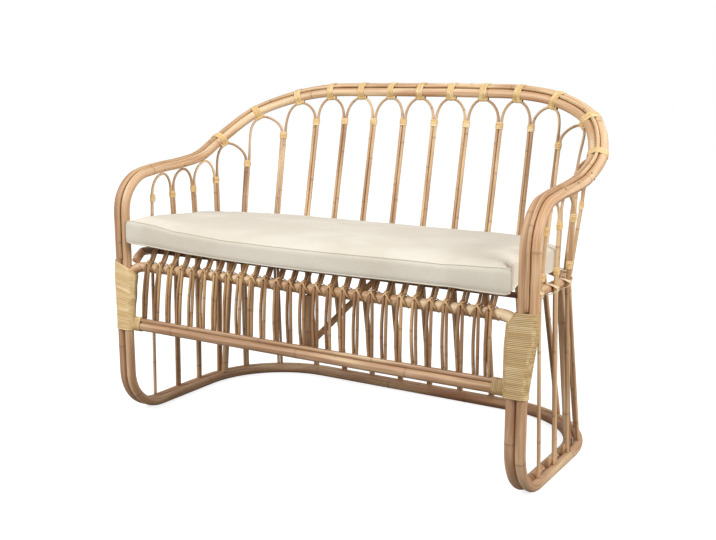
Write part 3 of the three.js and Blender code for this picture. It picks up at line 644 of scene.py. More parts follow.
# Where the legs between the hoops stand on each row, as row_place counts it
head_places = [0.1861, 0.5582, 0.9322, 1.1601, 1.3699, 1.6004, 1.8156, 1.9999, 2.3014, 2.578]
waist_places = [0.1686, 0.5052, 0.8441, 1.1122, 1.3248, 1.5988, 1.7246, 1.8993, 2.1757, 2.5562]
foot_places = [0.1574, 0.4742, 0.7928, 1.0909, 1.375, 1.6314, 1.8548, 2.0822, 2.3609, 2.6549]
joint_drop_shares = [1, 1, 0.98, 0.8, 0.72, 0.55, 0.85, 0.88, 0.89, 0.95]
arch_drop = 65.0
foot_height = pole_width + 0.6
joint_width = 14.0
arch_thinning = 0.2
apex_clearance = pole_width / 2 / math.cos(math.pi / 8) + touch_gap + hoop_reach
thinning_length = 30.0
leg_step = 8.0
thin_radius = hoop_width / 2 * (1 - arch_thinning)
crown_clearance = pole_width / 2 + thin_radius + 0.1


def apex_of(index):
    return rail_at(index).z - apex_clearance


# The legs at the left corner of the back were bound lower and lean less than the others
left_corner_leg = 5
left_corner_drop = 18.0
left_corner_slide = -20.0


def joint_height(index, left=False):
    height = min(apex_of(index), apex_of(min(index + 1, 9))) - joint_drop_shares[index] * arch_drop
    return height - (left_corner_drop if left and index == left_corner_leg else 0)


def leg_point(index, slide, height, left=False):
    """A leg between hoops at a height, slid sideways along its row."""
    at_waist = slide + (left_corner_slide if left and index == left_corner_leg else 0)
    foot = row_place(foot_row, foot_places[index], slide)[0]
    waist = row_place(waist_row, waist_places[index], at_waist)[0]
    head = row_place(head_row, head_places[index], slide)[0]
    if height < waist_height:
        spot = foot.lerp(waist, (height - foot_height) / (waist_height - foot_height))
    else:
        leg_top = joint_height(index, left)
        spot = waist.lerp(head, (height - waist_height) / (leg_top - waist_height))
    spot.z = height
    return spot


def leg_line(index, slide, left=False):
    """The leg from its foot to the top of its joint, bent softly over the seat ring."""
    top = joint_height(index, left) + joint_width / 2 + 5
    count = int((top - foot_height) / leg_step)
    heights = [lerp(foot_height, top, n / count) for n in range(count + 1)]
    spots = [leg_point(index, slide, height, left) for height in heights]
    for _ in range(6):
        softer = [(a + b * 2 + c) / 4 for a, b, c in zip(spots, spots[1:], spots[2:])]
        spots = [spots[0], *softer, spots[-1]]
    return spots


def half_arch(leg, apex, reach):
    """The bend from the top of a leg up to the crown of its hoop."""
    top = leg[-1]
    rising = (leg[-1] - leg[-2]).normalized()
    leg_pull = rising * (apex.z - top.z) * 0.62
    crown_pull = reach * (top - apex).length * 0.3
    pulls = [top, top + leg_pull, apex + crown_pull, apex]
    bend = []
    for n in range(1, 15):
        t = n / 15
        weights = ((1 - t) ** 3, 3 * t * (1 - t) ** 2, 3 * t * t * (1 - t), t**3)
        bend.append(sum((pull * weight for pull, weight in zip(pulls, weights)), Vector()))
    return bend


def rail_step(index):
    """A tenth of a hoop's share of the rail, across one of its hoops."""
    return rail_at(index + 0.05) - rail_at(index - 0.05)


def hoop_line(index, left=False):
    """The whole run of a hoop with its crown and the directions there."""
    if index == 0:
        near = [mirrored(spot) for spot in leg_line(0, -hoop_pitch / 2)]
    else:
        near = leg_line(index - 1, hoop_pitch / 2, left)
    far = leg_line(index, 0 if index == 9 else -hoop_pitch / 2, left)
    along = rail_step(index).normalized()
    middle = rail_at(index)
    up = middle - (near[-1] + far[-1]) / 2
    up = (up - along * up.dot(along)).normalized()
    apex = middle - up * crown_clearance
    line = near + half_arch(near, apex, -along) + [apex]
    line += half_arch(far, apex, along)[::-1] + far[::-1]
    return line, apex, along, up


def face_of(index):
    along = row_place(head_row, head_places[index])[1]
    return Vector((-along.y, along.x, 0))


for number in range(1, 20):
    index = abs(number - 10)
    left = number < 10
    line = hoop_line(index, left)[0]
    far_face = face_of(index)
    near_face = mirrored(far_face) if index == 0 else face_of(index - 1)
    run = [(spot, near_face.lerp(far_face, n / (len(line) - 1))) for n, spot in enumerate(line)]
    joints = (joint_height(max(index - 1, 0), left), joint_height(index, left))
    girths = []
    for n, spot in enumerate(line):
        joint_top = joints[2 * n > len(line)] + joint_width / 2
        above = between(spot.z, joint_top, joint_top + thinning_length)
        girths.append(1 - arch_thinning * above)
    run = [sided(left, *sample) for sample in run]
    shell = new_shell()
    add_stem(shell, run, hoop_width, 10, 100 + number, (120, 260), 10.0, girths, 0.035)
    node = f"arch_hoop_{number:02d}"
    finish_piece(shell, f"hoop_{number:02d}", cane_skin, "rattan_cane", node)


# Lashings: flat strips of pale rattan peel, soaked and wound tight. One holds the top of
# every hoop of the back to both rail poles, and one binds the legs of two hoops where
# they meet.
def hull_points(circles, count, margin):
    """Outline round some circles (x, y, radius), as a strip lies on them when pulled."""
    outline = []
    for n in range(count):
        angle = 2 * math.pi * (n + 0.5) / count
        way = Vector((math.cos(angle), math.sin(angle)))
        x, y, radius = max(circles, key=lambda c: c[0] * way.x + c[1] * way.y + c[2])
        outline.append(Vector((x, y)) + way * (radius + margin))
    return outline


# Across one turn of a strip: share of its width, share of its thickness, painted shade of the seam
strip_section = ((0.04, 0.45, 1.0), (0.2, 1.0, 0.15), (0.8, 1.0, 0.0), (0.96, 0.45, 0.6))


def add_winding(
    shell, frame_at, circles_at, length, seed, count, thickness, width, belly=0.0, slant=None
):
    """Turns of a flat strip round a bundle. frame_at gives place, x and y directions at
    a distance along the bundle, and circles_at its canes there. The belly is how much
    thinner the ends are, and slant gives the shift along the bundle for an x."""
    chance = random.Random(seed)
    turns = max(round(length / width), 2)
    pitch = length / turns
    rings = []

    def add_ring(spot, margin, dark):
        place, x_way, y_way = frame_at(spot)
        axis = x_way.cross(y_way)
        points, stems = [], []
        outline = hull_points(circles_at(spot), count, margin)
        girth = sum((b - a).length for a, b in zip(outline, outline[1:])) / (2 * math.pi)
        for n, corner in enumerate(outline):
            angle = 2 * math.pi * n / count
            shift = slant(spot, corner.x) if slant else 0
            points.append(place + x_way * corner.x + y_way * corner.y + axis * shift)
            stems.append(Vector((
                girth / 1000 * math.cos(angle) + seed,
                girth / 1000 * math.sin(angle),
                spot / 1000 + seed * 0.37,
            )))
        rings.append((points, stems, dark))

    # The end rings and the edge rings of every turn carry painted shade, where the strip tucks in.
    add_ring(0.0, 0.0, 1.0)
    for turn in range(turns):
        round_off = 1 - belly * (1 - math.sin(math.pi * (turn + 0.5) / turns))
        lift = thickness * chance.uniform(0.88, 1.0) * round_off
        for across, rise, dark in strip_section:
            add_ring(turn * pitch + pitch * across, lift * rise, dark)
    add_ring(length, 0.0, 1.0)
    draw_out(shell, rings, closed=True)


def peel(name, deep, middle, pale, line_dark_and_seam_shade):
    """Rattan peel: glossy pale strips with fine lines along them, and painted shade in the seams
    between turns.
    """
    skin = Finish(name)
    deep, middle, pale, line_dark_and_seam_shade = map(linear, (deep, middle, pale, line_dark_and_seam_shade))
    stem = skin.add("Attribute", {"attribute_name": "straight"}).outputs["Vector"]
    seam_shade = skin.add("Attribute", {"attribute_name": "knuckle_and_seam_shade"}).outputs["Fac"]
    strip = skin.grain(stem, (9, 9, 260), 1)
    line = skin.grain(stem, (26, 26, 1500), 2)
    patch = skin.grain(stem, (45, 45, 60), 2)
    colour = skin.mix(skin.ramp(strip, 0.36, 0.62), deep, middle)
    colour = skin.mix(skin.ramp(patch, 0.45, 0.7), colour, pale)
    colour = skin.mix(skin.ramp(line, 0.5, 0.8, 0.4), colour, line_dark_and_seam_shade, "MULTIPLY")
    # Painted shade in the seams between turns and at the ends of a winding.
    colour = skin.mix(skin.math("MULTIPLY", seam_shade, 0.55), colour, line_dark_and_seam_shade)
    return skin.dress(colour, line, 0.3, 0.0004, Roughness=0.46)


lashing_skin = peel(
    "lashing_peel",
    deep=(226, 186, 124), middle=(244, 212, 150), pale=(253, 232, 184), line_dark_and_seam_shade=(168, 124, 74),
)
rail_lashing = 19.0
crown_length = 29.0
rail_circles = [
    (-pole_pitch / 2, 0, pole_width / 2),
    (pole_pitch / 2, 0, pole_width / 2),
    (0, groove_rise, groove_width / 2),
]

shell = new_shell()
for number in range(4, 17):
    index = abs(number - 10)
    flip = number < 10
    per_mm = 0.1 / rail_step(index).length
    _, apex, along, up = hoop_line(index, flip)
    at_pole, outward, crown = rail_frame(index)
    below = apex - at_pole - outward * pole_pitch / 2
    bundle = rail_circles + [(below.dot(outward), below.dot(crown), thin_radius)]

    def rail_bundle(spot):
        station = index + (spot - rail_lashing / 2) * per_mm
        place, outward, crown = sided(station < 0, *rail_frame(abs(station)))
        return sided(flip, place + outward * pole_pitch / 2, outward, crown)

    add_winding(
        shell, rail_bundle, lambda spot: bundle, rail_lashing,
        seed=200 + number, count=44, thickness=1.5, width=3.8, belly=0.25,
    )

    def crown_bundle(spot):
        place = apex + along * (spot - crown_length / 2)
        return sided(flip, place, along.cross(up), up)

    hoop_crown = [(0, 0, thin_radius), (0, 3.0, thin_radius)]
    add_winding(
        shell, crown_bundle, lambda spot: hoop_crown, crown_length,
        seed=230 + number, count=16, thickness=2.4, width=3.8, belly=0.5,
    )
finish_piece(shell, "rail_lashings", lashing_skin, "lashing")

joint_lashing = 18.0
arm_lashing_height = 458.0
shell = new_shell()
for index in range(10):
    for flip in (False, True):
        heights = [joint_height(index, flip) + 3]
        if index >= 7:
            heights.append(arm_lashing_height)
        for height in heights:

            def joint_bundle(spot):
                level = height - joint_lashing / 2 + spot
                place = leg_point(index, -hoop_pitch / 4 if index == 9 else 0, level, flip)
                along = row_place(head_row, head_places[index])[1]
                rising = leg_point(index, 0, level + 5, flip) - leg_point(index, 0, level - 5, flip)
                rising.normalize()
                side = (along - rising * along.dot(rising)).normalized()
                return sided(flip, place, side, rising.cross(side))

            apart = hoop_pitch / (4 if index == 9 else 2)
            canes = [(-apart, 0, hoop_width / 2), (apart, 0, hoop_width / 2)]
            add_winding(
                shell, joint_bundle, lambda spot: canes, joint_lashing,
                seed=260 + index + 40 * flip, count=20, thickness=1.9, width=3.6, belly=0.6,
            )
finish_piece(shell, "joint_lashings", lashing_skin, "lashing")


# Cross ties: single strips drawn crosswise over the legs of the hoops, which hold them
# against the seat ring without a nail.
tie_skin = peel(
    "tie_peel",
    deep=(220, 186, 140), middle=(242, 216, 174), pale=(252, 236, 206), line_dark_and_seam_shade=(180, 140, 100),
)


def add_strip(shell, spots, faces, width, thickness, seed):
    """One flat strip through some spots, with the way that its face looks at each."""
    places = [n / 5 for n in range((len(spots) - 1) * 5 + 1)]
    samples = [(through(spots, place), through(faces, place)) for place in places]
    lengths = lengths_of(samples)
    rings = []
    for n, (place, face) in enumerate(samples):
        ahead = samples[min(n + 1, len(samples) - 1)][0]
        along = (ahead - samples[max(n - 1, 0)][0]).normalized()
        face = (face - along * face.dot(along)).normalized()
        side = along.cross(face)
        points, stems = [], []
        for corner in range(8):
            angle = 2 * math.pi * (corner + 0.5) / 8
            across = side * width / 2 * math.cos(angle)
            points.append(place + across + face * thickness / 2 * math.sin(angle))
            across = width / 2000 * math.cos(angle)
            stems.append(Vector((lengths[n] / 1000 * 0.2 + seed, seed * 0.7, across)))
        rings.append((points, stems, 0.0))
    draw_out(shell, rings)


tie_reach = hoop_width / 2 + 1.0
shell = new_shell()
for index in range(10):
    for flip in (False, True):
        waist = leg_point(index, 0, waist_height, flip)
        spot = leg_point(index, 0, ring_height(waist.y), flip)
        along = row_place(waist_row, waist_places[index])[1]
        out, up = Vector((-along.y, along.x, 0)), upwards
        for lean in (1, -1):
            spots = [
                spot + along * across * lean + out * outwards + up * rise
                for across, outwards, rise in (
                    (-17, -15, 12.5), (-13, -5, 10), (-5.5, tie_reach, 4),
                    (5.5, tie_reach, -4), (13, -5, -10), (17, -15, -12.5),
                )
            ]
            faces = [up, (out + up).normalized(), out, out, (out - up).normalized(), -up]
            spots, faces = sided(flip, *spots), sided(flip, *faces)
            add_strip(shell, spots, faces, width=7.5, thickness=2.0, seed=300 + index + lean)
finish_piece(shell, "ring_ties", tie_skin, "lashing")


# Front rails: a thick pole under the front of the seat whose ends run down into the leg
# wraps, the left one more steeply, and a straight pole below with a trim cane on its top.
seat_rail_width = 26.0
seat_rail_depth = 29.6
seat_rail_height = 391.0
seat_rail_end = arm_half_width - 15.4
seat_rail_bend = 33.0
seat_rail_nose = 18.0
lower_rail_depth = 9.6
lower_rail_height = 240.0
trim_width = 11.0
trim_height = lower_rail_height + pole_width / 2 + trim_width / 2 - 0.6
leg_wrap_face = leg_half_width - pole_width / 2 - 2.3


def seat_rail_side(drop, turned):
    """The right half of the seat rail from its middle to its end in the wrap."""
    bend_start = seat_rail_end - seat_rail_bend
    spots = []
    for n in range(31):
        x = lerp(0, bend_start - 8, n / 30)
        spots.append(Vector((x, seat_rail_depth, seat_rail_height)))
    for n in range(1, 13):
        share = n / 12
        onwards = math.sin(share * quarter) if turned else share
        x = bend_start + seat_rail_bend * onwards
        depth = lerp(seat_rail_depth, seat_rail_nose, share)
        spots.append(Vector((x, depth, seat_rail_height - drop * share**2)))
    return spots


left_side = sided(True, *seat_rail_side(18.0, True)[:0:-1])
seat_rail_run = [(spot, backwards) for spot in left_side + seat_rail_side(7.0, False)]
shell = new_shell()
add_stem(shell, seat_rail_run, seat_rail_width, 16, 51, (180, 360))
finish_piece(shell, "seat_rail_round", pole_skin, "rattan_pole", "front_seat_rail")

# The lower rail takes the darker base skin, which is painted shade.
shell = new_shell()
for width, height, end, seed in (
    (pole_width, lower_rail_height, leg_wrap_face - 0.3, 53),
    (trim_width, trim_height, leg_wrap_face - 1.3, 54),
):
    bar_end = Vector((end, lower_rail_depth, height))
    bar = straight_run(mirrored(bar_end), bar_end, 80, upwards)
    add_stem(shell, bar, width, 14, seed, (190, 400))
finish_piece(shell, "lower_rail_round", shaded_base_skin, "rattan_pole", "lower_front_rail")


# Seat canes: twenty-seven pairs of thin canes. Each pair rises from the trim cane, bends
# over the seat rail and runs back under the cushion to the rear of the seat ring.
seat_cane = 7.8
seat_pitch = seat_cane + touch_gap
pair_spacing = 36.0
forward_bow = 3.0
seat_skin = rattan(
    "seat_cane_skin",
    deep=(146, 106, 74), middle=(190, 148, 104), pale=(224, 184, 132),
    stain=(190, 156, 138), ring=(98, 68, 48), gloss=0.46,
)
# The corners of six-sided canes reach this much further than round ones
hex_swell = 1.0718
cane_reach = seat_cane / 2 * hex_swell
over_rail = seat_rail_width / 2 + touch_gap + cane_reach
over_ring = ring_width / 2 + touch_gap + cane_reach
cane_foot = trim_height + trim_width / 2 * hex_swell + touch_gap


def seat_cane_run(x, foot_shift, bow):
    """A cane from the trim cane, round the seat rail and back to the ring. Its foot is
    off its top by a shift, and it bows sideways and a little forward in between."""
    widest = abs(x) + seat_pitch / 2
    in_corner = max(widest - ring_half_width + ring_corner, 0)
    rear = ring_depth - ring_corner + math.sqrt(ring_corner**2 - in_corner**2) + 9
    spots = []
    for n in range(14):
        share = n / 13
        arc = math.sin(math.pi * share)
        sway = bow * arc + foot_shift * (1 - share)
        depth = lerp(lower_rail_depth, seat_rail_depth - over_rail, share) - forward_bow * arc
        spots.append(Vector((x + sway, depth, lerp(cane_foot, seat_rail_height - 4, share))))
    for n in range(9):
        turn = quarter * n / 8
        depth = seat_rail_depth - over_rail * math.cos(turn)
        spots.append(Vector((x, depth, seat_rail_height + over_rail * math.sin(turn))))
    spots.append(Vector((x, deck_bar_depth - 8, ring_front_height + over_ring - 1)))
    start = Vector((x, deck_bar_depth, ring_height(deck_bar_depth) + over_ring))
    end = Vector((x, rear, ring_height(rear) + over_ring))
    return [(spot, rightwards) for spot in spots] + straight_run(start, end, 24, rightwards)


# How far the top of each pair stands off its even place, and its foot off its top
chance = random.Random(61)
top_shifts = [3.0] + [6.0] * 25 + [-3.0]
foot_shifts = [lerp(-14, 0, between(n, 0, 13)) + chance.uniform(-2.5, 2.5) for n in range(27)]
pair_middles = [(n - 13) * pair_spacing + shift for n, shift in enumerate(top_shifts)]
for number, (middle, foot_shift) in enumerate(zip(pair_middles, foot_shifts), 1):
    shell = new_shell()
    for side in (-1, 1):
        bow = side * chance.uniform(0.3, 2.2)
        run = seat_cane_run(middle + side * seat_pitch / 2, foot_shift, bow)
        add_stem(shell, run, seat_cane, 8, 400 + number * 2 + side, (90, 240), 11.0, swell=0.03)
    node = f"seat_cane_pair_{number:02d}"
    finish_piece(shell, f"seat_canes_{number:02d}", seat_skin, "seat_cane", node)


# Seat ties: a strip of peel crosses every pair of canes where it bends over the seat
# rail, goes round the rail and comes up again, so its front looks like an upturned V.
shell = new_shell()
for number, middle in enumerate(pair_middles, 1):
    for lean in (1, -1):
        spots, faces = [], []
        for share, x, lift in (
            (1.7, -10, 0.1), (1.3, -9, 0.3), (1.0, -7.0, 2.6), (0.66, -3.5, seat_cane + 1.6),
            (0.42, 2.5, seat_cane + 1.6), (0.12, 9.0, 5.0), (-0.25, 13.0, 0.8), (-0.9, 14.0, 0.3),
        ):
            turn = quarter * share
            way = Vector((0, -math.cos(turn), math.sin(turn)))
            centre = Vector((middle + x * lean, seat_rail_depth, seat_rail_height))
            spots.append(centre + way * (seat_rail_width / 2 + lift))
            faces.append(way)
        add_strip(shell, spots, faces, width=4.4, thickness=1.6, seed=500 + number + lean)
seat_tie_skin = peel(
    "seat_tie_peel",
    deep=(172, 130, 86), middle=(206, 166, 116), pale=(230, 194, 142), line_dark_and_seam_shade=(130, 92, 60),
)
finish_piece(shell, "seat_ties", seat_tie_skin, "lashing")


# Corner posts, centre post and brace: plain poles under the seat. The posts stand on the
# base loop, and the brace leans from the lower rail up to the rear of the seat ring.
post_width = 19.0
centre_post_width = 17.0
brace_width = 16.0
brace_rise = 24.0
centre_x = 10.0
post_turn = 0.23
post_foot = Vector((
    leg_half_width - base_corner + base_corner * math.cos(post_turn),
    base_depth - base_corner + base_corner * math.sin(post_turn),
    pole_width + 0.6,
))
ring_turn = math.asin((post_foot.y - (ring_depth - ring_corner)) / ring_corner)
post_x = ring_half_width - ring_corner + ring_corner * math.cos(ring_turn)
post_top = Vector((post_x, post_foot.y, ring_height(post_foot.y) - ring_width / 2 - 1.3))
for name, node, flip, seed in (
    ("right_post_round", "right_corner_post", False, 71),
    ("left_post_round", "left_corner_post", True, 72),
):
    run = straight_run(*sided(flip, post_foot, post_top), 30, rightwards)
    shell = new_shell()
    add_stem(shell, run, post_width, 14, seed, (150, 260))
    finish_piece(shell, name, pole_skin, "under_frame", node)

centre_depth = lower_rail_depth + pole_width / 2 + touch_gap + centre_post_width / 2
post_low = Vector((centre_x, centre_depth, lower_rail_height - pole_width / 4))
post_high = Vector((centre_x, centre_depth, seat_rail_height - seat_rail_width / 2 - 2.2))
brace_foot = post_low + upwards * brace_rise
brace_aim = Vector((centre_x, ring_depth, ring_rear_height))
brace_top = brace_aim - (brace_aim - brace_foot).normalized() * (ring_width / 2 + 1.2)
shell = new_shell()
for start, end, width, seed in (
    (post_low, post_high, centre_post_width, 73),
    (brace_foot, brace_top, brace_width, 74),
):
    add_stem(shell, straight_run(start, end, 30, rightwards), width, 12, seed, (150, 260))
finish_piece(shell, "centre_brace_round", pole_skin, "under_frame", "centre_brace")


# Leg wraps: one long strip wound close round the doubled leg and the turned end of the
# seat rail, so the leg swells under the seat. A short band holds the lower rail.
# Two copies of one peel: the right wrap's darker one is painted shade and the left wrap's lighter
# one painted light, as the light falls from the left.
shaded_right_wrap_skin = peel(
    "right_wrap_peel_painted_shade",
    deep=(190, 158, 106), middle=(206, 176, 124), pale=(222, 196, 148), line_dark_and_seam_shade=(118, 86, 52),
)
lit_left_wrap_skin = peel(
    "left_wrap_peel_painted_light",
    deep=(220, 186, 128), middle=(234, 204, 148), pale=(246, 222, 172), line_dark_and_seam_shade=(146, 110, 68),
)
wrap_strip = 1.5
wrap_reach = pole_width / 2 + touch_gap + 2.0
# Half width of the inner edge of each wrap at some heights, from its top down
right_wrap_edge = [
    (wrap_top, 522.8), (380, 502.7), (354, 502.0), (335, 501.0), (250, 504.5), (wrap_foot, 504.8)
]
left_wrap_edge = [
    (wrap_top, 516.0), (384, 503.5), (354, 506.0), (322, 505.0), (300, 508.0), (wrap_foot, 508.3)
]


def leg_width(height):
    return leg_frame(height)[0].x


def wrap_inner(edge, height):
    """Inner edge of a wrap at a height. The turned end of the seat rail fills it out."""
    for (high, at_high), (low, at_low) in zip(edge, edge[1:]):
        if height >= low:
            return lerp(at_low, at_high, between(height, low, high))
    return edge[-1][1]


# The last turns of the left wrap run down towards the seat. It also ends lower than the
# right one, and its band on the lower rail is shorter.
for name, flip, node, skin, edge, wrap_slope, lower_end, band_length in (
    ("right_wrap_wound", False, "right_leg_wrap", shaded_right_wrap_skin, right_wrap_edge, 0.05, 2, 31.0),
    ("left_wrap_wound", True, "left_leg_wrap", lit_left_wrap_skin, left_wrap_edge, -0.36, 6, 22.0),
):
    wrap_length = wrap_top - wrap_foot - lower_end
    shell = new_shell()

    def leg_bundle(spot):
        height = wrap_foot + spot
        place = Vector((0, leg_frame(height)[0].y, height))
        return sided(flip, place, rightwards, backwards)

    def leg_canes(spot):
        height = wrap_foot + spot
        radius = wrap_reach - wrap_strip
        inner = wrap_inner(edge, height) + wrap_reach
        outer = leg_width(height) + pole_pitch
        return [(inner, 0, radius), (outer, 0, radius)]

    def wrap_slant(spot, x):
        return wrap_slope * (x - leg_width(wrap_top) - pole_pitch) * clamp(spot / wrap_length)

    add_winding(
        shell, leg_bundle, leg_canes, wrap_length,
        seed=600 + flip, count=36, thickness=wrap_strip, width=3.7, slant=wrap_slant,
    )

    def band_bundle(spot):
        place = Vector((leg_wrap_face - band_length + spot, lower_rail_depth, lower_rail_height))
        return sided(flip, place, backwards, upwards)

    band_canes = [
        (0, 0, pole_width / 2 + 0.5),
        (0, trim_height - lower_rail_height, trim_width / 2 + 0.5),
    ]
    add_winding(
        shell, band_bundle, lambda spot: band_canes, band_length + 1,
        seed=610 + flip, count=24, thickness=wrap_strip, width=3.7,
    )
    finish_piece(shell, name, skin, "lashing", node)


# Nails and pegs: small iron nails hold the arm hoops to the rail and the seat rail to the
# legs. Short cane pegs keep the feet of the arm hoops in the groove of the base.
iron = Finish("nail_iron")
place = iron.add("TexCoord").outputs["Object"]
tarnish = iron.grain(place, (700, 700, 700), 2)
rusty = iron.mix(iron.ramp(tarnish, 0.35, 0.65), linear((74, 56, 44)), linear((126, 100, 78)))
iron.dress(rusty, Metallic=0.35, Roughness=0.55)
# Radius of the domed head at some heights over the pole
nail_profile = [(1.9, -1.2), (1.9, 0.2), (1.425, 0.8), (0.3, 1.0)]


def add_nails(shell, centre, way):
    """The head of a nail on a pole, and its mirror image on the other side."""
    for centre, way in ((centre, way), sided(True, centre, way)):
        side = way.orthogonal().normalized()
        cross = way.cross(side)
        rings = []
        for radius, height in nail_profile:
            points = circle_at(centre + way * height, side, cross, radius, 8)
            rings.append((points, [Vector()] * 8, 0.0))
        draw_out(shell, rings)


shell = new_shell()
for index in (7, 8, 9):
    at_pole, outward, crown = rail_frame(index)
    for centre, way in (
        (at_pole, -outward - crown * 0.45),
        (at_pole + outward * pole_pitch, outward - crown * 0.45),
        (at_pole + outward * pole_pitch, outward * 0.5 + crown),
    ):
        way = way.normalized()
        add_nails(shell, centre + way * pole_width / 2, way)
for x, turn in ((489.0, -0.35), (494.0, 0.3)):
    way = Vector((0, -math.cos(turn), math.sin(turn)))
    spot = Vector((x, seat_rail_depth, seat_rail_height)) + way * seat_rail_width / 2
    add_nails(shell, spot + Vector((0, -0.8, -0.2)), way)
finish_piece(shell, "nails", iron.owner, "under_frame")

peg_width = 10.0
shell = new_shell()
for index in (7, 8, 9):
    foot, along = row_place(foot_row, foot_places[index], 15 if index != 9 else -14)
    inward = Vector((along.y, -along.x, 0))
    low = foot + inward * 9 + upwards * (pole_width - 1.2)
    high = foot + inward * 7 + upwards * (pole_width + 15)
    run = straight_run(low, high, 3, rightwards)
    add_stem(shell, run, peg_width, 10, 640 + index, (150, 260), 6.0)
finish_piece(shell, "foot_pegs", seat_skin, "rattan_cane")


# Cushion: one loose box cushion of foam in cream canvas. Its top and bottom panels meet
# the boxing at corded seams, and its rear follows the hoops. The cover is cut a little
# small and then swells, as a simulated cloth under pressure.
cushion_half_width = 516.0
cushion_front = -10.0
cushion_rear = 494.0
cushion_height = 58.0
front_radius = 9.0
rear_radius = 235.0
deck_top = ring_front_height + over_ring + cane_reach + touch_gap
back_lean = (head_depth - ring_depth - waist_offset) / (joint_height(0) - waist_height)
seat_tilt = math.atan(ring_slope)
# How far the front edge hangs and the top lifts, from the left end to the right
front_sags = [-5, 7, 15, 17, 17, 15, 13, 11]
end_lifts = [15, 4, 0, 0, 0, 0, 0, 3]
sag_reach = 150.0
left_ear, right_ear = 50.0, 26.0
right_droop = 6.0
rear_drop = 10.0
swell_limit = 11.0
cord_radius = 1.5
cord_lift = 0.2
seam_reach = 4.5
cloth_frames = 20


def cushion_outline(inset):
    """Plan of the cushion as points, counter-clockwise from its right front corner."""
    front_depth = cushion_front + front_radius
    rear_depth = cushion_rear - rear_radius
    outline = []
    for side, depth, radius, count, start in (
        (1, front_depth, front_radius, 6, 3),
        (1, rear_depth, rear_radius, 26, 0),
        (-1, rear_depth, rear_radius, 26, 1),
        (-1, front_depth, front_radius, 6, 2),
    ):
        centre = Vector((side * (cushion_half_width - radius), depth))
        for n in range(count + 1):
            turn = quarter * (start + n / count)
            outline.append(centre + Vector((math.cos(turn), math.sin(turn))) * (radius - inset))
    return outline


def on_seat(x, depth, height):
    """A point of the flat cushion as it lies: tilted with the seat, leaning back at its
    rear, sagging along its front and curling up at the left arm."""
    place = (x / cushion_half_width + 1) / 2 * (len(front_sags) - 1)
    # The underside rests on the canes behind the deck bar, and only hangs in front of it
    near_front = between(depth, cushion_front + sag_reach, cushion_front)
    rests = between(depth, 44, 74) * between(height, 20, 0)
    sag = share_at(front_sags, place)
    sag += right_droop * between(x, 380, 490) * (1 - height / cushion_height)
    sag *= near_front**1.5 * (1 - rests)
    lift = share_at(end_lifts, place) * between(depth, cushion_rear, cushion_rear - 250)
    lift -= rear_drop * between(depth, 150, 450)
    # The front corners are squeezed out sideways, in front of the arm poles
    before_pole = between(depth, 5, -10)
    squeezed = before_pole**2 * (3 - 2 * before_pole) * between(abs(x), 455, 515) ** 1.5
    ear = right_ear * squeezed if x > 0 else -left_ear * squeezed
    depth += back_lean * height * between(depth, 0, cushion_rear - cushion_front)
    spot = Vector((x + ear, depth, height - sag + lift * height / cushion_height))
    spot.rotate(Matrix.Rotation(seat_tilt, 3, "X"))
    return spot + upwards * (deck_top - ring_slope * deck_bar_depth)


inset = 4.0
outline = cushion_outline(inset)
slab = bmesh.new()
loop = bmesh.ops.create_circle(slab, cap_ends=True, segments=len(outline), radius=1)["verts"]
for vert, spot in zip(sorted(loop, key=around), outline):
    vert.co = (spot.x, spot.y, inset)
lifted = bmesh.ops.extrude_face_region(slab, geom=slab.faces[:], use_keep_orig=True)["geom"]
moved = [item for item in lifted if isinstance(item, bmesh.types.BMVert)]
bmesh.ops.translate(slab, verts=moved, vec=(0, 0, cushion_height - 2 * inset))
bmesh.ops.recalc_face_normals(slab, faces=slab.faces)
cushion = placed("cushion_cover", bpy.data.meshes.new("cushion_cover"))
slab.to_mesh(cushion.data)
slab.free()
bpy.context.view_layer.objects.active = cushion
cushion.select_set(True)


def applied(kind, **settings):
    modifier = cushion.modifiers.new(kind.lower(), kind)
    for key, value in settings.items():
        setattr(modifier, key, value)
    bpy.ops.object.modifier_apply(modifier=modifier.name)


applied("REMESH", mode="VOXEL", voxel_size=7.0)
flat_spots = [vert.co.copy() for vert in cushion.data.vertices]
laid_spots = [in_room(on_seat(*spot)) for spot in flat_spots]
for vert, spot in zip(cushion.data.vertices, laid_spots):
    vert.co = spot

cloth = cushion.modifiers.new("cloth", "CLOTH")
fabric = cloth.settings
fabric.quality = 5
fabric.mass = 0.3
fabric.tension_stiffness = fabric.compression_stiffness = 14
fabric.bending_stiffness = 0.6
fabric.use_pressure = True
fabric.uniform_pressure_force = 4
fabric.effector_weights.gravity = 0
cloth.point_cache.frame_start = 1
cloth.point_cache.frame_end = cloth_frames
for step in range(1, cloth_frames + 1):
    bpy.context.scene.frame_set(step)
blown = cushion.evaluated_get(bpy.context.evaluated_depsgraph_get()).data
swollen = [vert.co.copy() for vert in blown.vertices]
cushion.modifiers.remove(cloth)
bpy.context.scene.frame_set(1)

# The swelling is held under a limit, and the underside on the canes hardly moves
for vert, flat, laid, blown in zip(cushion.data.vertices, flat_spots, laid_spots, swollen):
    move = blown - laid
    if flat.z < inset + 1:
        move *= 0.15
    size = move.length * 1000
    if size > 0:
        move *= swell_limit * math.tanh(size / swell_limit) / size
    vert.co = laid + move

# The cords of the seams lie along the upper and lower edges of the swollen cover
seams = []
for height in (inset, cushion_height - inset):
    path = []
    for a, b in zip(outline, outline[1:] + outline[:1]):
        count = max(int((b - a).length / 12), 1)
        path += [a.lerp(b, n / count) for n in range(count)]
    finder = [
        (vert.co.copy(), flat)
        for vert, flat in zip(cushion.data.vertices, flat_spots)
        if abs(flat.z - height) < seam_reach
    ]
    seams.append((height, path, finder))

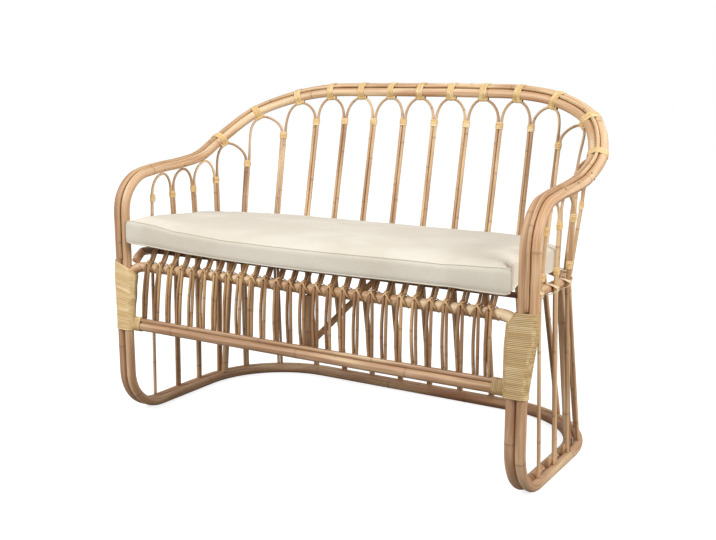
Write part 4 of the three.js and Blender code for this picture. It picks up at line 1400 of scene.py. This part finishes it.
applied("SUBSURF", levels=1, render_levels=1)
cover = bmesh.new()
cover.from_mesh(cushion.data)
cloth_skin = BVHTree.FromBMesh(cover)
cover.verts.layers.float_vector.new("straight")
cover.verts.layers.float.new("knuckle_and_seam_shade")
for height, path, finder in seams:
    spots = []
    for spot in path:
        target = Vector((spot.x, spot.y, height))
        moved_to, flat = min(finder, key=lambda pair: (pair[1] - target).length_squared)
        spots.append(moved_to + in_room(on_seat(*target)) - in_room(on_seat(*flat)))
    for _ in range(6):
        around_them = zip([spots[-1], *spots], spots, spots[1:] + spots[:1])
        spots = [(before + spot * 2 + after) / 4 for before, spot, after in around_them]
    spots = [cloth_skin.find_nearest(spot)[0] for spot in spots]
    rings = []
    for before, spot, after in zip([spots[-1], *spots], spots, spots[1:] + spots[:1]):
        out = (after - before).normalized().cross(upwards).normalized()
        up = out.cross((after - before).normalized())
        centre = spot * 1000 - backwards * front_line + out * cord_lift
        rings.append((circle_at(centre, out, up, cord_radius, 8), [Vector()] * 8, 0.0))
    draw_out(cover, rings, closed=True)
cover.to_mesh(cushion.data)
cover.free()
cushion.data.shade_smooth()

canvas = Finish("cream_canvas")
spot = canvas.add("TexCoord").outputs["Object"]
warp = canvas.grain(spot, (1500, 220, 220), 1)
weft = canvas.grain(spot, (220, 1500, 1500), 1)
cloud = canvas.grain(spot, (7, 9, 9), 2)
slub = canvas.grain(spot, (60, 420, 420), 1)
cream, pale_cream = linear((221, 212, 195)), linear((230, 223, 208))
colour = canvas.mix(canvas.ramp(cloud, 0.35, 0.7), cream, pale_cream)
weave = canvas.math("ADD", warp, weft)
colour = canvas.mix(canvas.ramp(weave, 0.9, 1.4, 0.3), colour, linear((206, 198, 184)), "MULTIPLY")
colour = canvas.mix(canvas.ramp(slub, 0.62, 0.8, 0.25), colour, linear((214, 204, 186)))
canvas.dress(colour, weave, Roughness=0.92, Sheen_Weight=0.15)
cushion.data.materials.append(canvas.owner)
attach(cushion, "cushion")
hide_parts("seat_cushion")

low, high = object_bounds()
